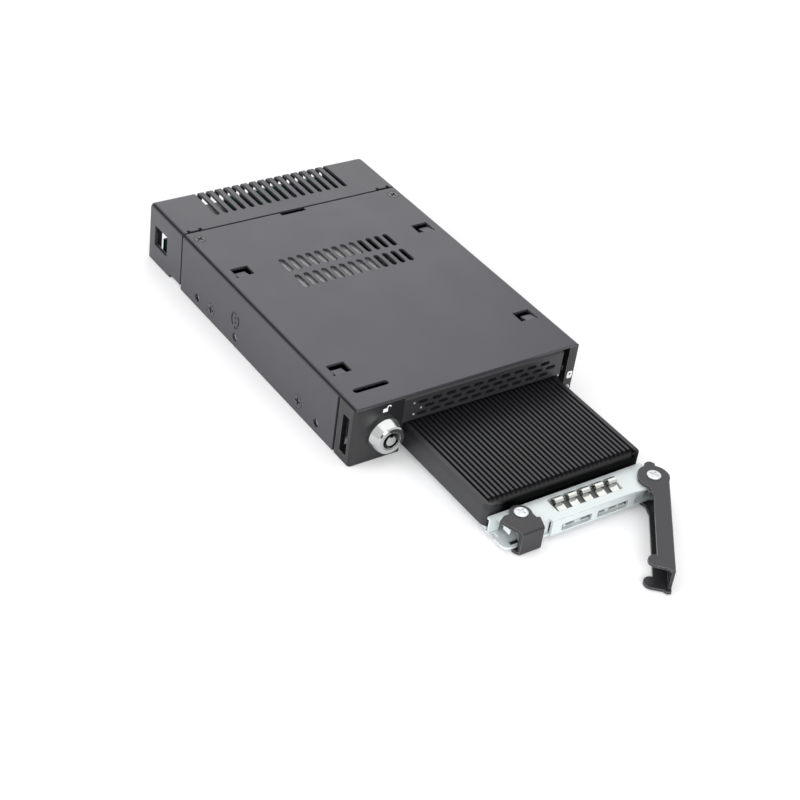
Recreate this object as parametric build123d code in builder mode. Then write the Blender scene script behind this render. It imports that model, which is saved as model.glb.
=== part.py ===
"""Mobile rack for one 2.5 inch solid state drive, sized for a 3.5 inch bay.

Millimetres, +Z up, +X to the right seen from the front, +Y to the rear.
The origin is the middle of the underside of the case. The drive tray stands
part way out of the front, with its lever open.
"""
from build123d import *
from math import atan, cos, degrees, radians, sin
import os

os.makedirs("parts", exist_ok=True)

# Case, a 3.5 inch bay device
case_width = 101.6
case_height = 25.4
case_length = 155.0
sheet = 1.0
bend = 1.6
fit_gap = 0.1
run_gap = 0.3
front_y = -case_length / 2
rear_y = case_length / 2

# Main cover
cover_length = 126.5
cover_flange_start = 11.0
seam_y = front_y + cover_length
vent_pitch = 4.07
vent_count = 13
vent_width = 2.3
vent_length = 9.3
vent_row_pitch = 12.1
vent_y = front_y + 85.4
lance_x = case_width / 2 - 8.3
lance_width = 7.4
lance_length = 6.0
lance_slit = 0.4
lance_cut = 2.3
lance_drop = 0.7
lance_rear_y = [front_y + 97.2, front_y + 27.1]
front_slot_length = 15.0
front_slot_width = 2.6
front_slot_x = -case_width / 2 + 12.9
front_slot_y = front_y + 9.8
seam_notch_width = 11.5
seam_notch_depth = 1.9
seam_notch_x = -0.75
cover_screw_x = case_width / 2 - 4.75
cover_screw_y = seam_y - 5.0
screw_shank = 2.5
screw_head = 4.8
screw_length = 5.0

# Side mounting holes and side screws
mount_hole = 2.5
mount_clear = 3.2
mount_z = 4.2
mount_first_y = front_y + 22.7
mount_steps = [0.0, 60.0, 90.0]
collar_flats = 4.6
collar_length = 1.2
side_screw_z = 5.2
side_screw_y = [front_y + 35.9, seam_y - 24.6]
side_screw_head = 5.6
side_screw_shank = 3.0
side_screw_length = 4.0
stamp_y = front_y + 83.1
stamp_z = 11.7
stamp_height = 7.4
stamp_width = 6.2
stamp_depth = 0.25
stamp_line = 0.9
stamp_bridge = 1.3
stamp_dot = 0.5
stamp_dot_step = 1.1

# Base plate
base_sheet = 1.2
base_flange = 12.0
base_front_y = front_y + 14.5
window_relief = 1.8
relief_top = 7.0

# Rear cover
seam_gap = 0.8
rear_bend = 2.5
rear_slot_count = 16
rear_slot_pitch = 4.08
rear_slot_width = 2.0
rear_slot_x = 0.35
rear_slot_start = 8.5
rear_slot_foot = 17.5
window_y = rear_y - 10.65
window_z = 12.5
window_length = 10.3
window_height = 9.0
window_corner = 0.6
rear_foot_rise = 1.6
rear_foot_length = 9.5
corner_notch_x = case_width / 2 - 5.85
corner_notch_width = 6.5
corner_notch_depth = 0.5
corner_nick_width = 1.3
corner_nick_depth = 1.5
tongue_x = 25.0
tongue_width = 12.0
tongue_length = 6.0
rear_gap_x = -case_width / 2 + 8.05
rear_gap_z = 5.2
rear_gap_size = (4.5, 8.8)

# Front bezel
bezel_depth = 9.7
bezel_top = case_height - sheet
bezel_round = 1.2
column_round = 0.4
bezel_wall = 2.2
lock_block_width = 21.8
column_width = 4.2
opening_height = 13.0
rail_height = 1.6
rail_depth = 3.0
side_slot_y = front_y + 4.75
side_slot_width = 4.3
side_slot_z = 11.5
side_slot_height = 16.4
ear_pocket_depth = 2.3
ear_pocket_front = 3.4
ear_pocket_height = 10.8
lug_length = 7.0
lug_height = 7.0
lug_z = 16.5
icon_x = case_width / 2 - 1.9
icon_z = [10.9, 5.3]
icon_width = 2.0
icon_height = 2.8
icon_depth = 3.0

# Vent panel
panel_thickness = 2.0
panel_gap_right = 3.0
panel_bevel = 1.4
grille_pitch = 6.23
grille_slot = 4.5
grille_slot_height = 1.6
grille_rows = [20.3, 17.75, 15.2]
grille_count = 10
grille_x = case_width / 2 - 43.75

# Key lock
lock_x = -case_width / 2 + 13.8
lock_z = 11.0
lock_flange = 14.2
lock_nose = 11.6
lock_nose_length = 5.3
lock_barrel = 9.6
lock_barrel_length = 13.0
plug_diameter = 7.6
key_post = 4.2
key_ring = 6.8
key_depth = 5.0
key_tab = 1.3
shaft_gap = 0.05
nut_flats = 11.0
nut_thickness = 2.4
cam_reach = 7.0
cam_width = 4.0
cam_thickness = 1.5
cam_screw_shank = 2.0
cam_screw_length = 4.0
cam_screw_head = 1.2

# Drive, 2.5 inch form, 9.5 mm high
drive_width = 69.85
drive_length = 100.45
drive_height = 9.5
drive_x = case_width / 2 - 43.6
drive_corner = 3.0
lid_thickness = 3.0
fin_pitch = 2.045
fin_groove = 1.05
fin_groove_count = 33
fin_depth = 1.3
fin_border = 4.6
rim_drop = 0.7
rim_corner = 4.0
front_strip = 1.3
band_width = 2.5
case_wall = 1.5
case_floor = 1.2
case_boss = 2.2
inner_board = 1.0
chip_size = (12.0, 18.0)
chip_pitch = (22.0, 26.0)
chip_height = 1.1

# Tray
tray_sheet = 1.0
tray_floor_z = 1.6
tray_inset = 0.8
tray_rear_margin = 1.0
drive_front_y = front_y - 51.3
tray_front_y = front_y - 64.4
tray_plate_top = 8.3
floor_front_y = front_y - 63.7
floor_round = 3.0
fascia_x_left = drive_x - 15.8
fascia_x_right = drive_x + 22.2
plate_rear_gap = 0.7
plate_x_left = drive_x - 35.0
plate_x_right = drive_x + 34.1
boss_radius = 4.3
plate_x_wing = drive_x - 32.2
wing_front_y = front_y - 62.7
wing_round = 2.5
plate_proud = 0.25
post_setback = 1.0
edge_notch_y = front_y - 55.75
edge_notch_size = (1.9, 2.9)
lip_width = 1.0
lip_low_z = 6.1
lip_length = 5.0
inner_tab_x = fascia_x_left - 1.9
inner_tab_width = 3.8
inner_tab_y = front_y - 62.2
right_tab_width = 6.0
spring_slot_x = drive_x + 4.1
spring_slot_length = 29.6
spring_slot_y = front_y - 57.3
spring_slot_width = 7.0
frame_rim = 1.4
finger_count = 5
finger_pitch = 6.1
finger_shift = 0.4
finger_width = 3.6
finger_sheet = 0.3
finger_span = 6.0
finger_top = 10.2
roll_radius = 1.5
roll_setback = 1.1
fascia_window_x = [drive_x - 4.35, drive_x + 12.1]
fascia_window_width = [13.3, 13.8]
fascia_window_height = 2.9
fascia_window_z = 4.0
insert_slots = [drive_x + step for step in (-6.6, 0.1, 7.1, 12.9, 17.5)]
insert_slot_width = 4.0
insert_slot_height = 2.1
insert_slot_z = 4.2
light_block_margin = 0.6
insert_sheet = 0.8
post_width = 4.2
tongue_hole_x = plate_x_wing + 2.5
tongue_hole_y = front_y - 61.6
tongue_hole_size = (4.5, 2.1)
drive_screw_x = 61.72
drive_screw_y = [14.0, drive_length - 9.85]
drive_screw_head = 5.2
drive_screw_shank = 3.0
drive_screw_length = 3.6

# Lever and latch
lever_x = drive_x + 32.7
lever_y = front_y - 61.2
lever_angle = -128.5
lever_sheet = 1.0
lever_bottom = 0.3
lever_top = tray_plate_top + run_gap + lever_sheet
lever_length = 50.7
lever_overhang = 1.8
lever_tail = 1.9
lever_fold = 0.8
lever_outer = 5.8
lever_inner = -0.4
lever_boss = 5.9
lever_hook_along = 46.6
lever_hook_across = -0.9
lever_hook_radius = 2.9
lever_ear_reach = 8.0
rivet_shank = 3.0
rivet_head = 5.2
rivet_head_height = 0.6
rivet_cross = (3.4, 0.8)
rivet_cross_depth = 0.4
spring_wire = 0.6
spring_coil = 4.4
spring_turns = 3
spring_pitch = 1.1
flare = 4.4
flare_height = 0.7
latch_x = drive_x - 24.2
latch_y = front_y - 56.5
latch_front = -9.9
latch_right = 3.0
latch_left = -6.5
latch_boss = 4.1
latch_nose = 4.9
latch_return = 1.9
latch_return_z = 2.9
latch_fold = 0.8

# Inside the case
guide_width = 1.8
guide_height = 6.8
guide_gap = 0.4
shield_sheet = 0.6
shield_z = 22.8
shield_x_right = drive_x + 4.8
shield_y = front_y + 90.0
shield_length = 32.0
shield_foot = 5.0
board_thickness = 1.6
tray_travel = 65.5
tray_pull = 34.0
mate_gap = 0.5
socket_depth = 6.0
socket_width = 41.0
socket_height = 5.6
board_top = 19.0
air_slot = (9.0, 3.0)
air_slot_pitch = 14.0
socket_offset = 8.75
plug_depth = 4.6
plug_width = 38.0
plug_height = 4.0
plug_z = 6.1
socket_z = plug_z
tongue_thickness = 1.2
tongue_reach = 3.2
rear_board_z = 6.4
rear_board_width = case_width - 21.6
rear_board_margin = 4.3
post_hex = 5.0
post_hole = 2.2
data_port_x = -case_width / 2 + 28.9
data_port_size = (10.4, 9.5, 9.9)
data_opening_top = 21.0
power_port_x = case_width / 2 - 35.3
power_port_size = (23.0, 9.5, 5.4)
port_gap = 0.3
riser_thickness = 1.4
riser_strip = (-case_width / 2 + 5.5, case_width / 2 - 6.8)
riser_strip_top = 7.9
riser_top = 22.0
riser_raised = [
    (data_port_x - 12.1, data_port_x - 6.5),
    (data_port_x + 5.9, data_port_x + 10.2),
    (power_port_x - 19.1, power_port_x - 3.1),
    (power_port_x + 5.1, power_port_x + 13.3),
    (riser_strip[1] - 11.0, riser_strip[1]),
]

# Places that follow from the sizes above
inner_half = case_width / 2 - sheet
base_half = inner_half - fit_gap
drive_rear_y = drive_front_y + drive_length
drive_bottom = tray_floor_z + tray_sheet
drive_top = drive_bottom + drive_height
lid_bottom = drive_top - lid_thickness
drive_half = drive_width / 2
tray_half = drive_half - tray_inset
tray_rear_y = drive_rear_y + tray_rear_margin
plate_rear_y = drive_front_y - plate_rear_gap
block_right = -case_width / 2 + lock_block_width
column_left = case_width / 2 - column_width
socket_front_y = drive_rear_y + tray_travel + mate_gap
backplane_y = socket_front_y + socket_depth
socket_x = drive_x + socket_offset
rear_board_front = backplane_y + board_thickness + fit_gap
rear_board_rear = rear_y - rear_board_margin
riser_y = rear_board_rear + fit_gap
board_top_z = rear_board_z + board_thickness
guide_front_y = base_front_y + 1.0
lever_floor_top = lever_bottom + lever_sheet


def station(y):
    """Plane across the case at y, facing the front."""
    return Plane.XZ.offset(-y)


def lever_plane(z, along=0.0):
    """Plane at height z, with x along the open lever from its rivet."""
    angle = radians(lever_angle)
    direction = (cos(angle), sin(angle), 0)
    origin = (lever_x + along * direction[0], lever_y + along * direction[1], z)
    return Plane(origin=origin, x_dir=direction, z_dir=(0, 0, 1))


def sink_angle(head, shank):
    """Countersink angle whose cone stays within nine tenths of a sheet."""
    return 2 * degrees(atan((head - shank) / 2 / (0.9 * sheet)))


def side_plane(side, y, z, inset=0.0):
    """Plane on the left (-1) or right (1) side wall, facing outwards."""
    return Plane(origin=(side * (case_width / 2 - inset), y, z), x_dir=(0, side, 0), z_dir=(side, 0, 0))


def faceted_slot(length, width, turn=0, mode=Mode.ADD):
    """Slot with faceted round ends, at each of the current places."""
    radius = width / 2
    reach = length / 2 - radius
    angles = [radians(angle) for angle in (-90, -45, 0, 45, 90)]
    right_end = [(reach + radius * cos(angle), radius * sin(angle)) for angle in angles]
    left_end = [(-x, -y) for x, y in right_end]
    Polygon(*right_end, *left_end, rotation=turn, align=None, mode=mode)


def faceted_oval(width, height, mode=Mode.ADD):
    """Oval with sixteen corners."""
    turns = [radians(22.5 * step) for step in range(16)]
    Polygon(*[(width / 2 * cos(turn), height / 2 * sin(turn)) for turn in turns], align=None, mode=mode)


# Main cover: a folded channel with lanced tabs, vents and a stamped mark
with BuildPart() as cage_cover:
    with BuildSketch(station(seam_y)) as cover_section:
        with Locations((0, case_height / 2)):
            Rectangle(case_width, case_height)
        fillet(cover_section.vertices().group_by(Axis.Y)[-1], bend)
        with Locations((0, (case_height - sheet) / 2)):
            Rectangle(case_width - 2 * sheet, case_height - sheet, mode=Mode.SUBTRACT)
    extrude(amount=cover_length)
    with Locations((0, front_y + cover_flange_start / 2, (case_height - sheet) / 2)):
        Box(case_width + 2, cover_flange_start, case_height - sheet, mode=Mode.SUBTRACT)
    with BuildSketch(Plane.XY.offset(case_height)):
        with Locations((0, vent_y)):
            with GridLocations(vent_pitch, vent_row_pitch, vent_count, 2):
                faceted_slot(vent_length, vent_width, turn=90)
        with Locations((front_slot_x, front_slot_y)):
            faceted_slot(front_slot_length, front_slot_width)
        with Locations((seam_notch_x, seam_y)):
            Rectangle(seam_notch_width, 2 * seam_notch_depth)
        for side in (-1, 1):
            for rear in lance_rear_y:
                with Locations((side * lance_x, rear - lance_length / 2)):
                    Rectangle(lance_width, lance_length)
                with Locations((side * (lance_x + lance_width / 2), rear - lance_length)):
                    Circle(lance_slit)
    extrude(amount=-sheet, mode=Mode.SUBTRACT)
    tab_width = lance_width - lance_cut - lance_slit
    for side in (-1, 1):
        for rear in lance_rear_y:
            tab_front = rear - lance_length
            tab_rear = rear - lance_cut
            tab_x = side * (lance_x + (lance_cut - lance_slit) / 2)
            with BuildSketch(Plane.YZ.offset(tab_x)):
                with BuildLine():
                    Polyline(
                        (tab_front, case_height),
                        (tab_rear, case_height - lance_drop),
                        (tab_rear, case_height - lance_drop - sheet),
                        (tab_front, case_height - sheet),
                        close=True,
                    )
                make_face()
            extrude(amount=tab_width / 2, both=True)
    with Locations(*[(side * cover_screw_x, cover_screw_y, case_height) for side in (-1, 1)]):
        CounterSinkHole(
            screw_shank / 2 + fit_gap,
            screw_head / 2 + fit_gap,
            depth=2 * sheet,
            counter_sink_angle=sink_angle(screw_head, screw_shank),
        )
    with BuildSketch(Plane.YZ):
        with Locations(*[(mount_first_y + step, mount_z) for step in mount_steps]):
            Circle(mount_clear / 2)
    extrude(amount=case_width, both=True, mode=Mode.SUBTRACT)
    for side in (-1, 1):
        for screw_y in side_screw_y:
            with Locations(side_plane(side, screw_y, side_screw_z)):
                CounterSinkHole(
                    side_screw_shank / 2 + fit_gap,
                    side_screw_head / 2 + fit_gap,
                    depth=2 * sheet,
                    counter_sink_angle=sink_angle(side_screw_head, side_screw_shank),
                )
        with BuildSketch(side_plane(side, stamp_y, stamp_z)):
            faceted_oval(stamp_width, stamp_height)
            faceted_oval(stamp_width - 2 * stamp_line, stamp_height - 2 * stamp_line, mode=Mode.SUBTRACT)
            Rectangle(stamp_bridge, 2 * stamp_height, rotation=side * 20, mode=Mode.SUBTRACT)
            with Locations((0, stamp_dot_step), (0, -stamp_dot_step)):
                RegularPolygon(stamp_dot, 8)
        extrude(amount=-stamp_depth, mode=Mode.SUBTRACT)
cage_cover.part.label = "cage_cover"
export_step(cage_cover.part, "parts/cage_cover.step")

# Base plate: a shallow tray with weld nuts behind the side holes
with BuildPart() as cage_base:
    base_length = rear_y - sheet - fit_gap - base_front_y
    with BuildSketch(station(rear_y - sheet - fit_gap)):
        with Locations((0, base_flange / 2)):
            Rectangle(2 * base_half, base_flange)
        with Locations((0, base_flange / 2 + base_sheet)):
            Rectangle(2 * (base_half - sheet), base_flange, mode=Mode.SUBTRACT)
    extrude(amount=base_length)
    fillet(cage_base.edges().filter_by(Axis.Y).group_by(Axis.Z)[0], base_sheet / 2)
    for side in (-1, 1):
        with BuildSketch(side_plane(side, 0, 0, inset=sheet + fit_gap + sheet)):
            with Locations(*[(side * (mount_first_y + step), mount_z) for step in mount_steps]):
                RegularPolygon(collar_flats / 2, 6, major_radius=False)
            with Locations(*[(side * screw_y, side_screw_z) for screw_y in side_screw_y]):
                RegularPolygon(collar_flats / 2, 6, major_radius=False)
        extrude(amount=-collar_length)
    with BuildSketch(Plane.YZ):
        with Locations(*[(mount_first_y + step, mount_z) for step in mount_steps]):
            Circle(mount_hole / 2)
        with Locations(*[(screw_y, side_screw_z) for screw_y in side_screw_y]):
            Circle(side_screw_shank / 2 + shaft_gap)
    extrude(amount=case_width, both=True, mode=Mode.SUBTRACT)
    # the left flange is cut down behind the side window of the rear cover
    with Locations((-base_half, window_y, relief_top + base_flange)):
        Box(4 * sheet, window_length + 2 * window_relief, 2 * base_flange, mode=Mode.SUBTRACT)
    # ears that take the screws of the main cover
    with Locations(*[(side * cover_screw_x, cover_screw_y) for side in (-1, 1)]):
        with Locations((0, 0, case_height - sheet - sheet / 2)):
            Box(2 * (base_half - cover_screw_x), 8.0, sheet)
    with Locations(*[(side * (base_half - sheet / 2), cover_screw_y) for side in (-1, 1)]):
        with Locations((0, 0, (base_flange + case_height - sheet) / 2 - sheet / 2)):
            Box(sheet, 8.0, case_height - sheet - base_flange + sheet)
    with Locations(*[(side * cover_screw_x, cover_screw_y, case_height) for side in (-1, 1)]):
        Hole(screw_shank / 2 + shaft_gap, depth=screw_length + sheet)
cage_base.part.label = "cage_base"
export_step(cage_base.part, "parts/cage_base.step")

# Rear cover: a folded hood, slots wrap over its rear bend
with BuildPart() as rear_cover:
    hood_length = rear_y - seam_y - seam_gap
    with Locations((0, rear_y - hood_length / 2, case_height / 2)):
        Box(case_width, hood_length, case_height)
    fillet(rear_cover.edges().filter_by(Axis.X).group_by(Axis.Z)[-1].sort_by(Axis.Y)[-1], rear_bend)
    fillet(rear_cover.faces().sort_by(Axis.Z)[-1].edges().filter_by(Axis.Y), bend)
    with BuildSketch(station(rear_y - sheet)):
        with Locations((0, (case_height - sheet) / 2)):
            Rectangle(case_width - 2 * sheet, case_height - sheet)
    extrude(amount=hood_length, mode=Mode.SUBTRACT)
    with BuildSketch(Plane.XY.offset(case_height)):
        slot_run = hood_length - rear_slot_start + 2 * rear_slot_width
        with Locations((rear_slot_x, seam_y + rear_slot_start + slot_run / 2)):
            with GridLocations(rear_slot_pitch, 1, rear_slot_count, 1):
                faceted_slot(slot_run, rear_slot_width, turn=90)
        for side in (-1, 1):
            with Locations((side * corner_notch_x, seam_y)):
                Rectangle(corner_notch_width, 2 * (seam_gap + corner_notch_depth))
                with GridLocations(corner_notch_width - corner_nick_width, 1, 2, 1):
                    Rectangle(corner_nick_width, 2 * (seam_gap + corner_nick_depth))
    extrude(amount=-(case_height - rear_slot_foot), mode=Mode.SUBTRACT)
    with BuildSketch(side_plane(-1, window_y, window_z)):
        RectangleRounded(window_length, window_height, window_corner)
    extrude(amount=-sheet, mode=Mode.SUBTRACT)
    with Locations((0, seam_y + rear_foot_length / 2, 0)):
        Box(case_width + 2, rear_foot_length, 2 * rear_foot_rise, mode=Mode.SUBTRACT)
    with BuildSketch(station(rear_y)):
        for port_x, port_size in ((data_port_x, data_port_size), (power_port_x, power_port_size)):
            with Locations((port_x, board_top_z + port_size[2] / 2)):
                RectangleRounded(port_size[0] + 2 * port_gap, port_size[2] + 2 * port_gap, window_corner)
        with Locations((data_port_x, (board_top_z + data_opening_top) / 2)):
            Rectangle(data_port_size[0] + 2 * port_gap, data_opening_top - board_top_z)
        with Locations((rear_gap_x, rear_gap_z)):
            Rectangle(*rear_gap_size)
    extrude(amount=sheet, both=True, mode=Mode.SUBTRACT)
    # joggled tongues that hook under the main cover
    for side in (-1, 1):
        with Locations((side * tongue_x, seam_y, case_height - 1.5 * sheet - fit_gap)):
            Box(tongue_width, 2 * tongue_length, sheet)
        with Locations((side * tongue_x, seam_y + tongue_length, case_height - 1.5 * sheet)):
            Box(tongue_width, sheet, 2 * sheet)
rear_cover.part.label = "rear_cover"
export_step(rear_cover.part, "parts/rear_cover.step")

# Front bezel: lock block, right column and the two rails between them
with BuildPart() as front_bezel:
    block_x = -case_width / 2 + lock_block_width / 2
    column_x = case_width / 2 - column_width / 2
    with Locations((block_x, front_y + bezel_depth / 2, bezel_top / 2)):
        Box(lock_block_width, bezel_depth, bezel_top)
    with Locations((column_x, front_y + bezel_depth / 2, bezel_top / 2)):
        Box(column_width, bezel_depth, bezel_top)
    outer_corners = front_bezel.edges().filter_by(Axis.Z).group_by(Axis.Y)[0]
    fillet(outer_corners.sort_by(Axis.X)[0], bezel_round)
    fillet(front_bezel.edges().filter_by(Axis.Z).group_by(Axis.Y)[0].sort_by(Axis.X)[-1], column_round)
    rail_x = (block_right + column_left) / 2
    rail_y = front_y + panel_thickness + rail_depth / 2
    for rail_z in (bezel_top - rail_height / 2, opening_height + rail_height / 2):
        with Locations((rail_x, rail_y, rail_z)):
            Box(column_left - block_right + 2, rail_depth, rail_height)
    # hollow behind the lock face
    cavity_width = lock_block_width - 2 * bezel_wall
    cavity_height = bezel_top - 2 * bezel_wall
    with Locations((block_x, front_y + bezel_wall + bezel_depth / 2, bezel_top / 2)):
        Box(cavity_width, bezel_depth, cavity_height, mode=Mode.SUBTRACT)
    with BuildSketch(side_plane(-1, side_slot_y, side_slot_z)):
        RectangleRounded(side_slot_width, side_slot_height, 0.5)
    extrude(amount=-bezel_wall, mode=Mode.SUBTRACT)
    with BuildSketch(station(front_y)):
        with Locations((lock_x, lock_z)):
            Circle(lock_barrel / 2 + shaft_gap)
    extrude(amount=-bezel_depth, mode=Mode.SUBTRACT)
    # pocket where the ear of the closed lever bears
    pocket_length = bezel_depth - ear_pocket_front
    pocket_centre = front_y + ear_pocket_front + pocket_length / 2
    with Locations((column_left + ear_pocket_depth / 2, pocket_centre, ear_pocket_height / 2)):
        Box(ear_pocket_depth, pocket_length, ear_pocket_height, mode=Mode.SUBTRACT)
    # lugs that lie against the side walls of the main cover
    for side in (-1, 1):
        with Locations((side * (inner_half - sheet), front_y + bezel_depth + lug_length / 2, lug_z)):
            Box(2 * sheet, lug_length, lug_height)
    with BuildSketch(station(front_y)):
        with Locations(*[(icon_x, z) for z in icon_z]):
            RectangleRounded(icon_width + 2 * shaft_gap, icon_height + 2 * shaft_gap, 0.4)
    extrude(amount=-icon_depth, mode=Mode.SUBTRACT)
front_bezel.part.label = "front_bezel"
export_step(front_bezel.part, "parts/front_bezel.step")

# Vent panel over the tray opening
with BuildPart() as vent_panel:
    panel_left = block_right + fit_gap
    panel_right = column_left - panel_gap_right
    panel_height = bezel_top - opening_height
    with BuildSketch(station(front_y)):
        with Locations(((panel_left + panel_right) / 2, opening_height + panel_height / 2)):
            Rectangle(panel_right - panel_left, panel_height)
    extrude(amount=-panel_thickness)
    chamfer(vent_panel.faces().sort_by(Axis.Y)[0].edges().sort_by(Axis.Z)[-1], panel_bevel)
    with BuildSketch(station(front_y)):
        for row, row_z in enumerate(grille_rows):
            with Locations((grille_x + row % 2 * grille_pitch / 2, row_z)):
                with GridLocations(grille_pitch, 1, grille_count, 1):
                    faceted_slot(grille_slot, grille_slot_height)
    extrude(amount=-panel_thickness, mode=Mode.SUBTRACT)
vent_panel.part.label = "vent_panel"
export_step(vent_panel.part, "parts/vent_panel.step")

# Light pipes behind the drive and power icons
with BuildPart() as light_pipes:
    with BuildSketch(station(front_y)):
        with Locations(*[(icon_x, z) for z in icon_z]):
            RectangleRounded(icon_width, icon_height, 0.4)
    extrude(amount=-icon_depth)
light_pipes.part.label = "light_pipes"
export_step(light_pipes.part, "parts/light_pipes.step")

# Lock body: a turned nose with a flange, and a threaded barrel
with BuildPart() as lock_body:
    with BuildSketch(Plane.XY.offset(lock_z)):
        with BuildLine():
            Polyline(
                (lock_x + plug_diameter / 2 + shaft_gap, front_y - lock_nose_length),
                (lock_x + lock_nose / 2 - 0.5, front_y - lock_nose_length),
                (lock_x + lock_nose / 2, front_y - lock_nose_length + 0.5),
                (lock_x + lock_flange / 2, front_y - 1.2),
                (lock_x + lock_flange / 2, front_y),
                (lock_x + lock_barrel / 2, front_y),
                (lock_x + lock_barrel / 2, front_y + lock_barrel_length),
                (lock_x + plug_diameter / 2 + shaft_gap, front_y + lock_barrel_length),
                close=True,
            )
        make_face()
    revolve(axis=Axis((lock_x, front_y, lock_z), (0, 1, 0)))
lock_body.part.label = "lock_body"
export_step(lock_body.part, "parts/lock_body.step")

# Lock plug: key post, ring-shaped keyway and square tail
with BuildPart() as lock_plug:
    plug_length = lock_nose_length + lock_barrel_length
    with BuildSketch(station(front_y + lock_barrel_length)):
        with Locations((lock_x, lock_z)):
            Circle(plug_diameter / 2)
    extrude(amount=plug_length - 0.2)
    with BuildSketch(station(front_y - lock_nose_length)):
        with Locations((lock_x, lock_z)):
            Circle(key_ring / 2)
            Circle(key_post / 2, mode=Mode.SUBTRACT)
        with Locations((lock_x, lock_z + key_post / 2)):
            Rectangle(key_tab, key_tab)
    extrude(amount=-key_depth, mode=Mode.SUBTRACT)
    with BuildSketch(station(front_y + lock_barrel_length + cam_thickness + fit_gap)):
        with Locations((lock_x, lock_z)):
            Rectangle(key_post, key_post)
    extrude(amount=cam_thickness + fit_gap)
    with BuildSketch(station(front_y + lock_barrel_length + cam_thickness + fit_gap)):
        with Locations((lock_x, lock_z)):
            Circle(cam_screw_shank / 2 + shaft_gap)
    extrude(amount=cam_screw_length + 0.5, mode=Mode.SUBTRACT)
lock_plug.part.label = "lock_plug"
export_step(lock_plug.part, "parts/lock_plug.step")

# Lock nut, behind the face of the lock block
with BuildPart() as lock_nut:
    with BuildSketch(station(front_y + bezel_wall + nut_thickness)):
        with Locations((lock_x, lock_z)):
            RegularPolygon(nut_flats / 2, 6, major_radius=False, rotation=30)
            Circle(lock_barrel / 2 + shaft_gap, mode=Mode.SUBTRACT)
    extrude(amount=nut_thickness)
lock_nut.part.label = "lock_nut"
export_step(lock_nut.part, "parts/lock_nut.step")

# Lock cam on the tail of the plug
with BuildPart() as lock_cam:
    with BuildSketch(station(front_y + lock_barrel_length + cam_thickness + fit_gap)):
        with Locations((lock_x, lock_z + cam_reach / 2 - cam_width / 4)):
            Rectangle(cam_width, cam_reach - cam_width / 2)
        with Locations((lock_x, lock_z + cam_reach - cam_width / 2)):
            Circle(cam_width / 2)
        with Locations((lock_x, lock_z)):
            Circle(plug_diameter / 2)
            Rectangle(key_post + 2 * shaft_gap, key_post + 2 * shaft_gap, mode=Mode.SUBTRACT)
    extrude(amount=cam_thickness)
lock_cam.part.label = "lock_cam"
export_step(lock_cam.part, "parts/lock_cam.step")

# Screw that holds the cam
with BuildPart() as cam_screw:
    cam_rear_y = front_y + lock_barrel_length + cam_thickness + fit_gap
    with BuildSketch(station(cam_rear_y + cam_screw_head)):
        with Locations((lock_x, lock_z)):
            Circle(key_post / 2 + 1)
    extrude(amount=cam_screw_head)
    with BuildSketch(station(cam_rear_y)):
        with Locations((lock_x, lock_z)):
            Circle(cam_screw_shank / 2)
    extrude(amount=cam_screw_length)
    with BuildSketch(station(cam_rear_y + cam_screw_head)):
        with Locations((lock_x, lock_z)):
            Rectangle(3.4, 0.7)
            Rectangle(0.7, 3.4)
    extrude(amount=cam_screw_head / 2, mode=Mode.SUBTRACT)
cam_screw.part.label = "cam_screw"
export_step(cam_screw.part, "parts/cam_screw.step")

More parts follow.
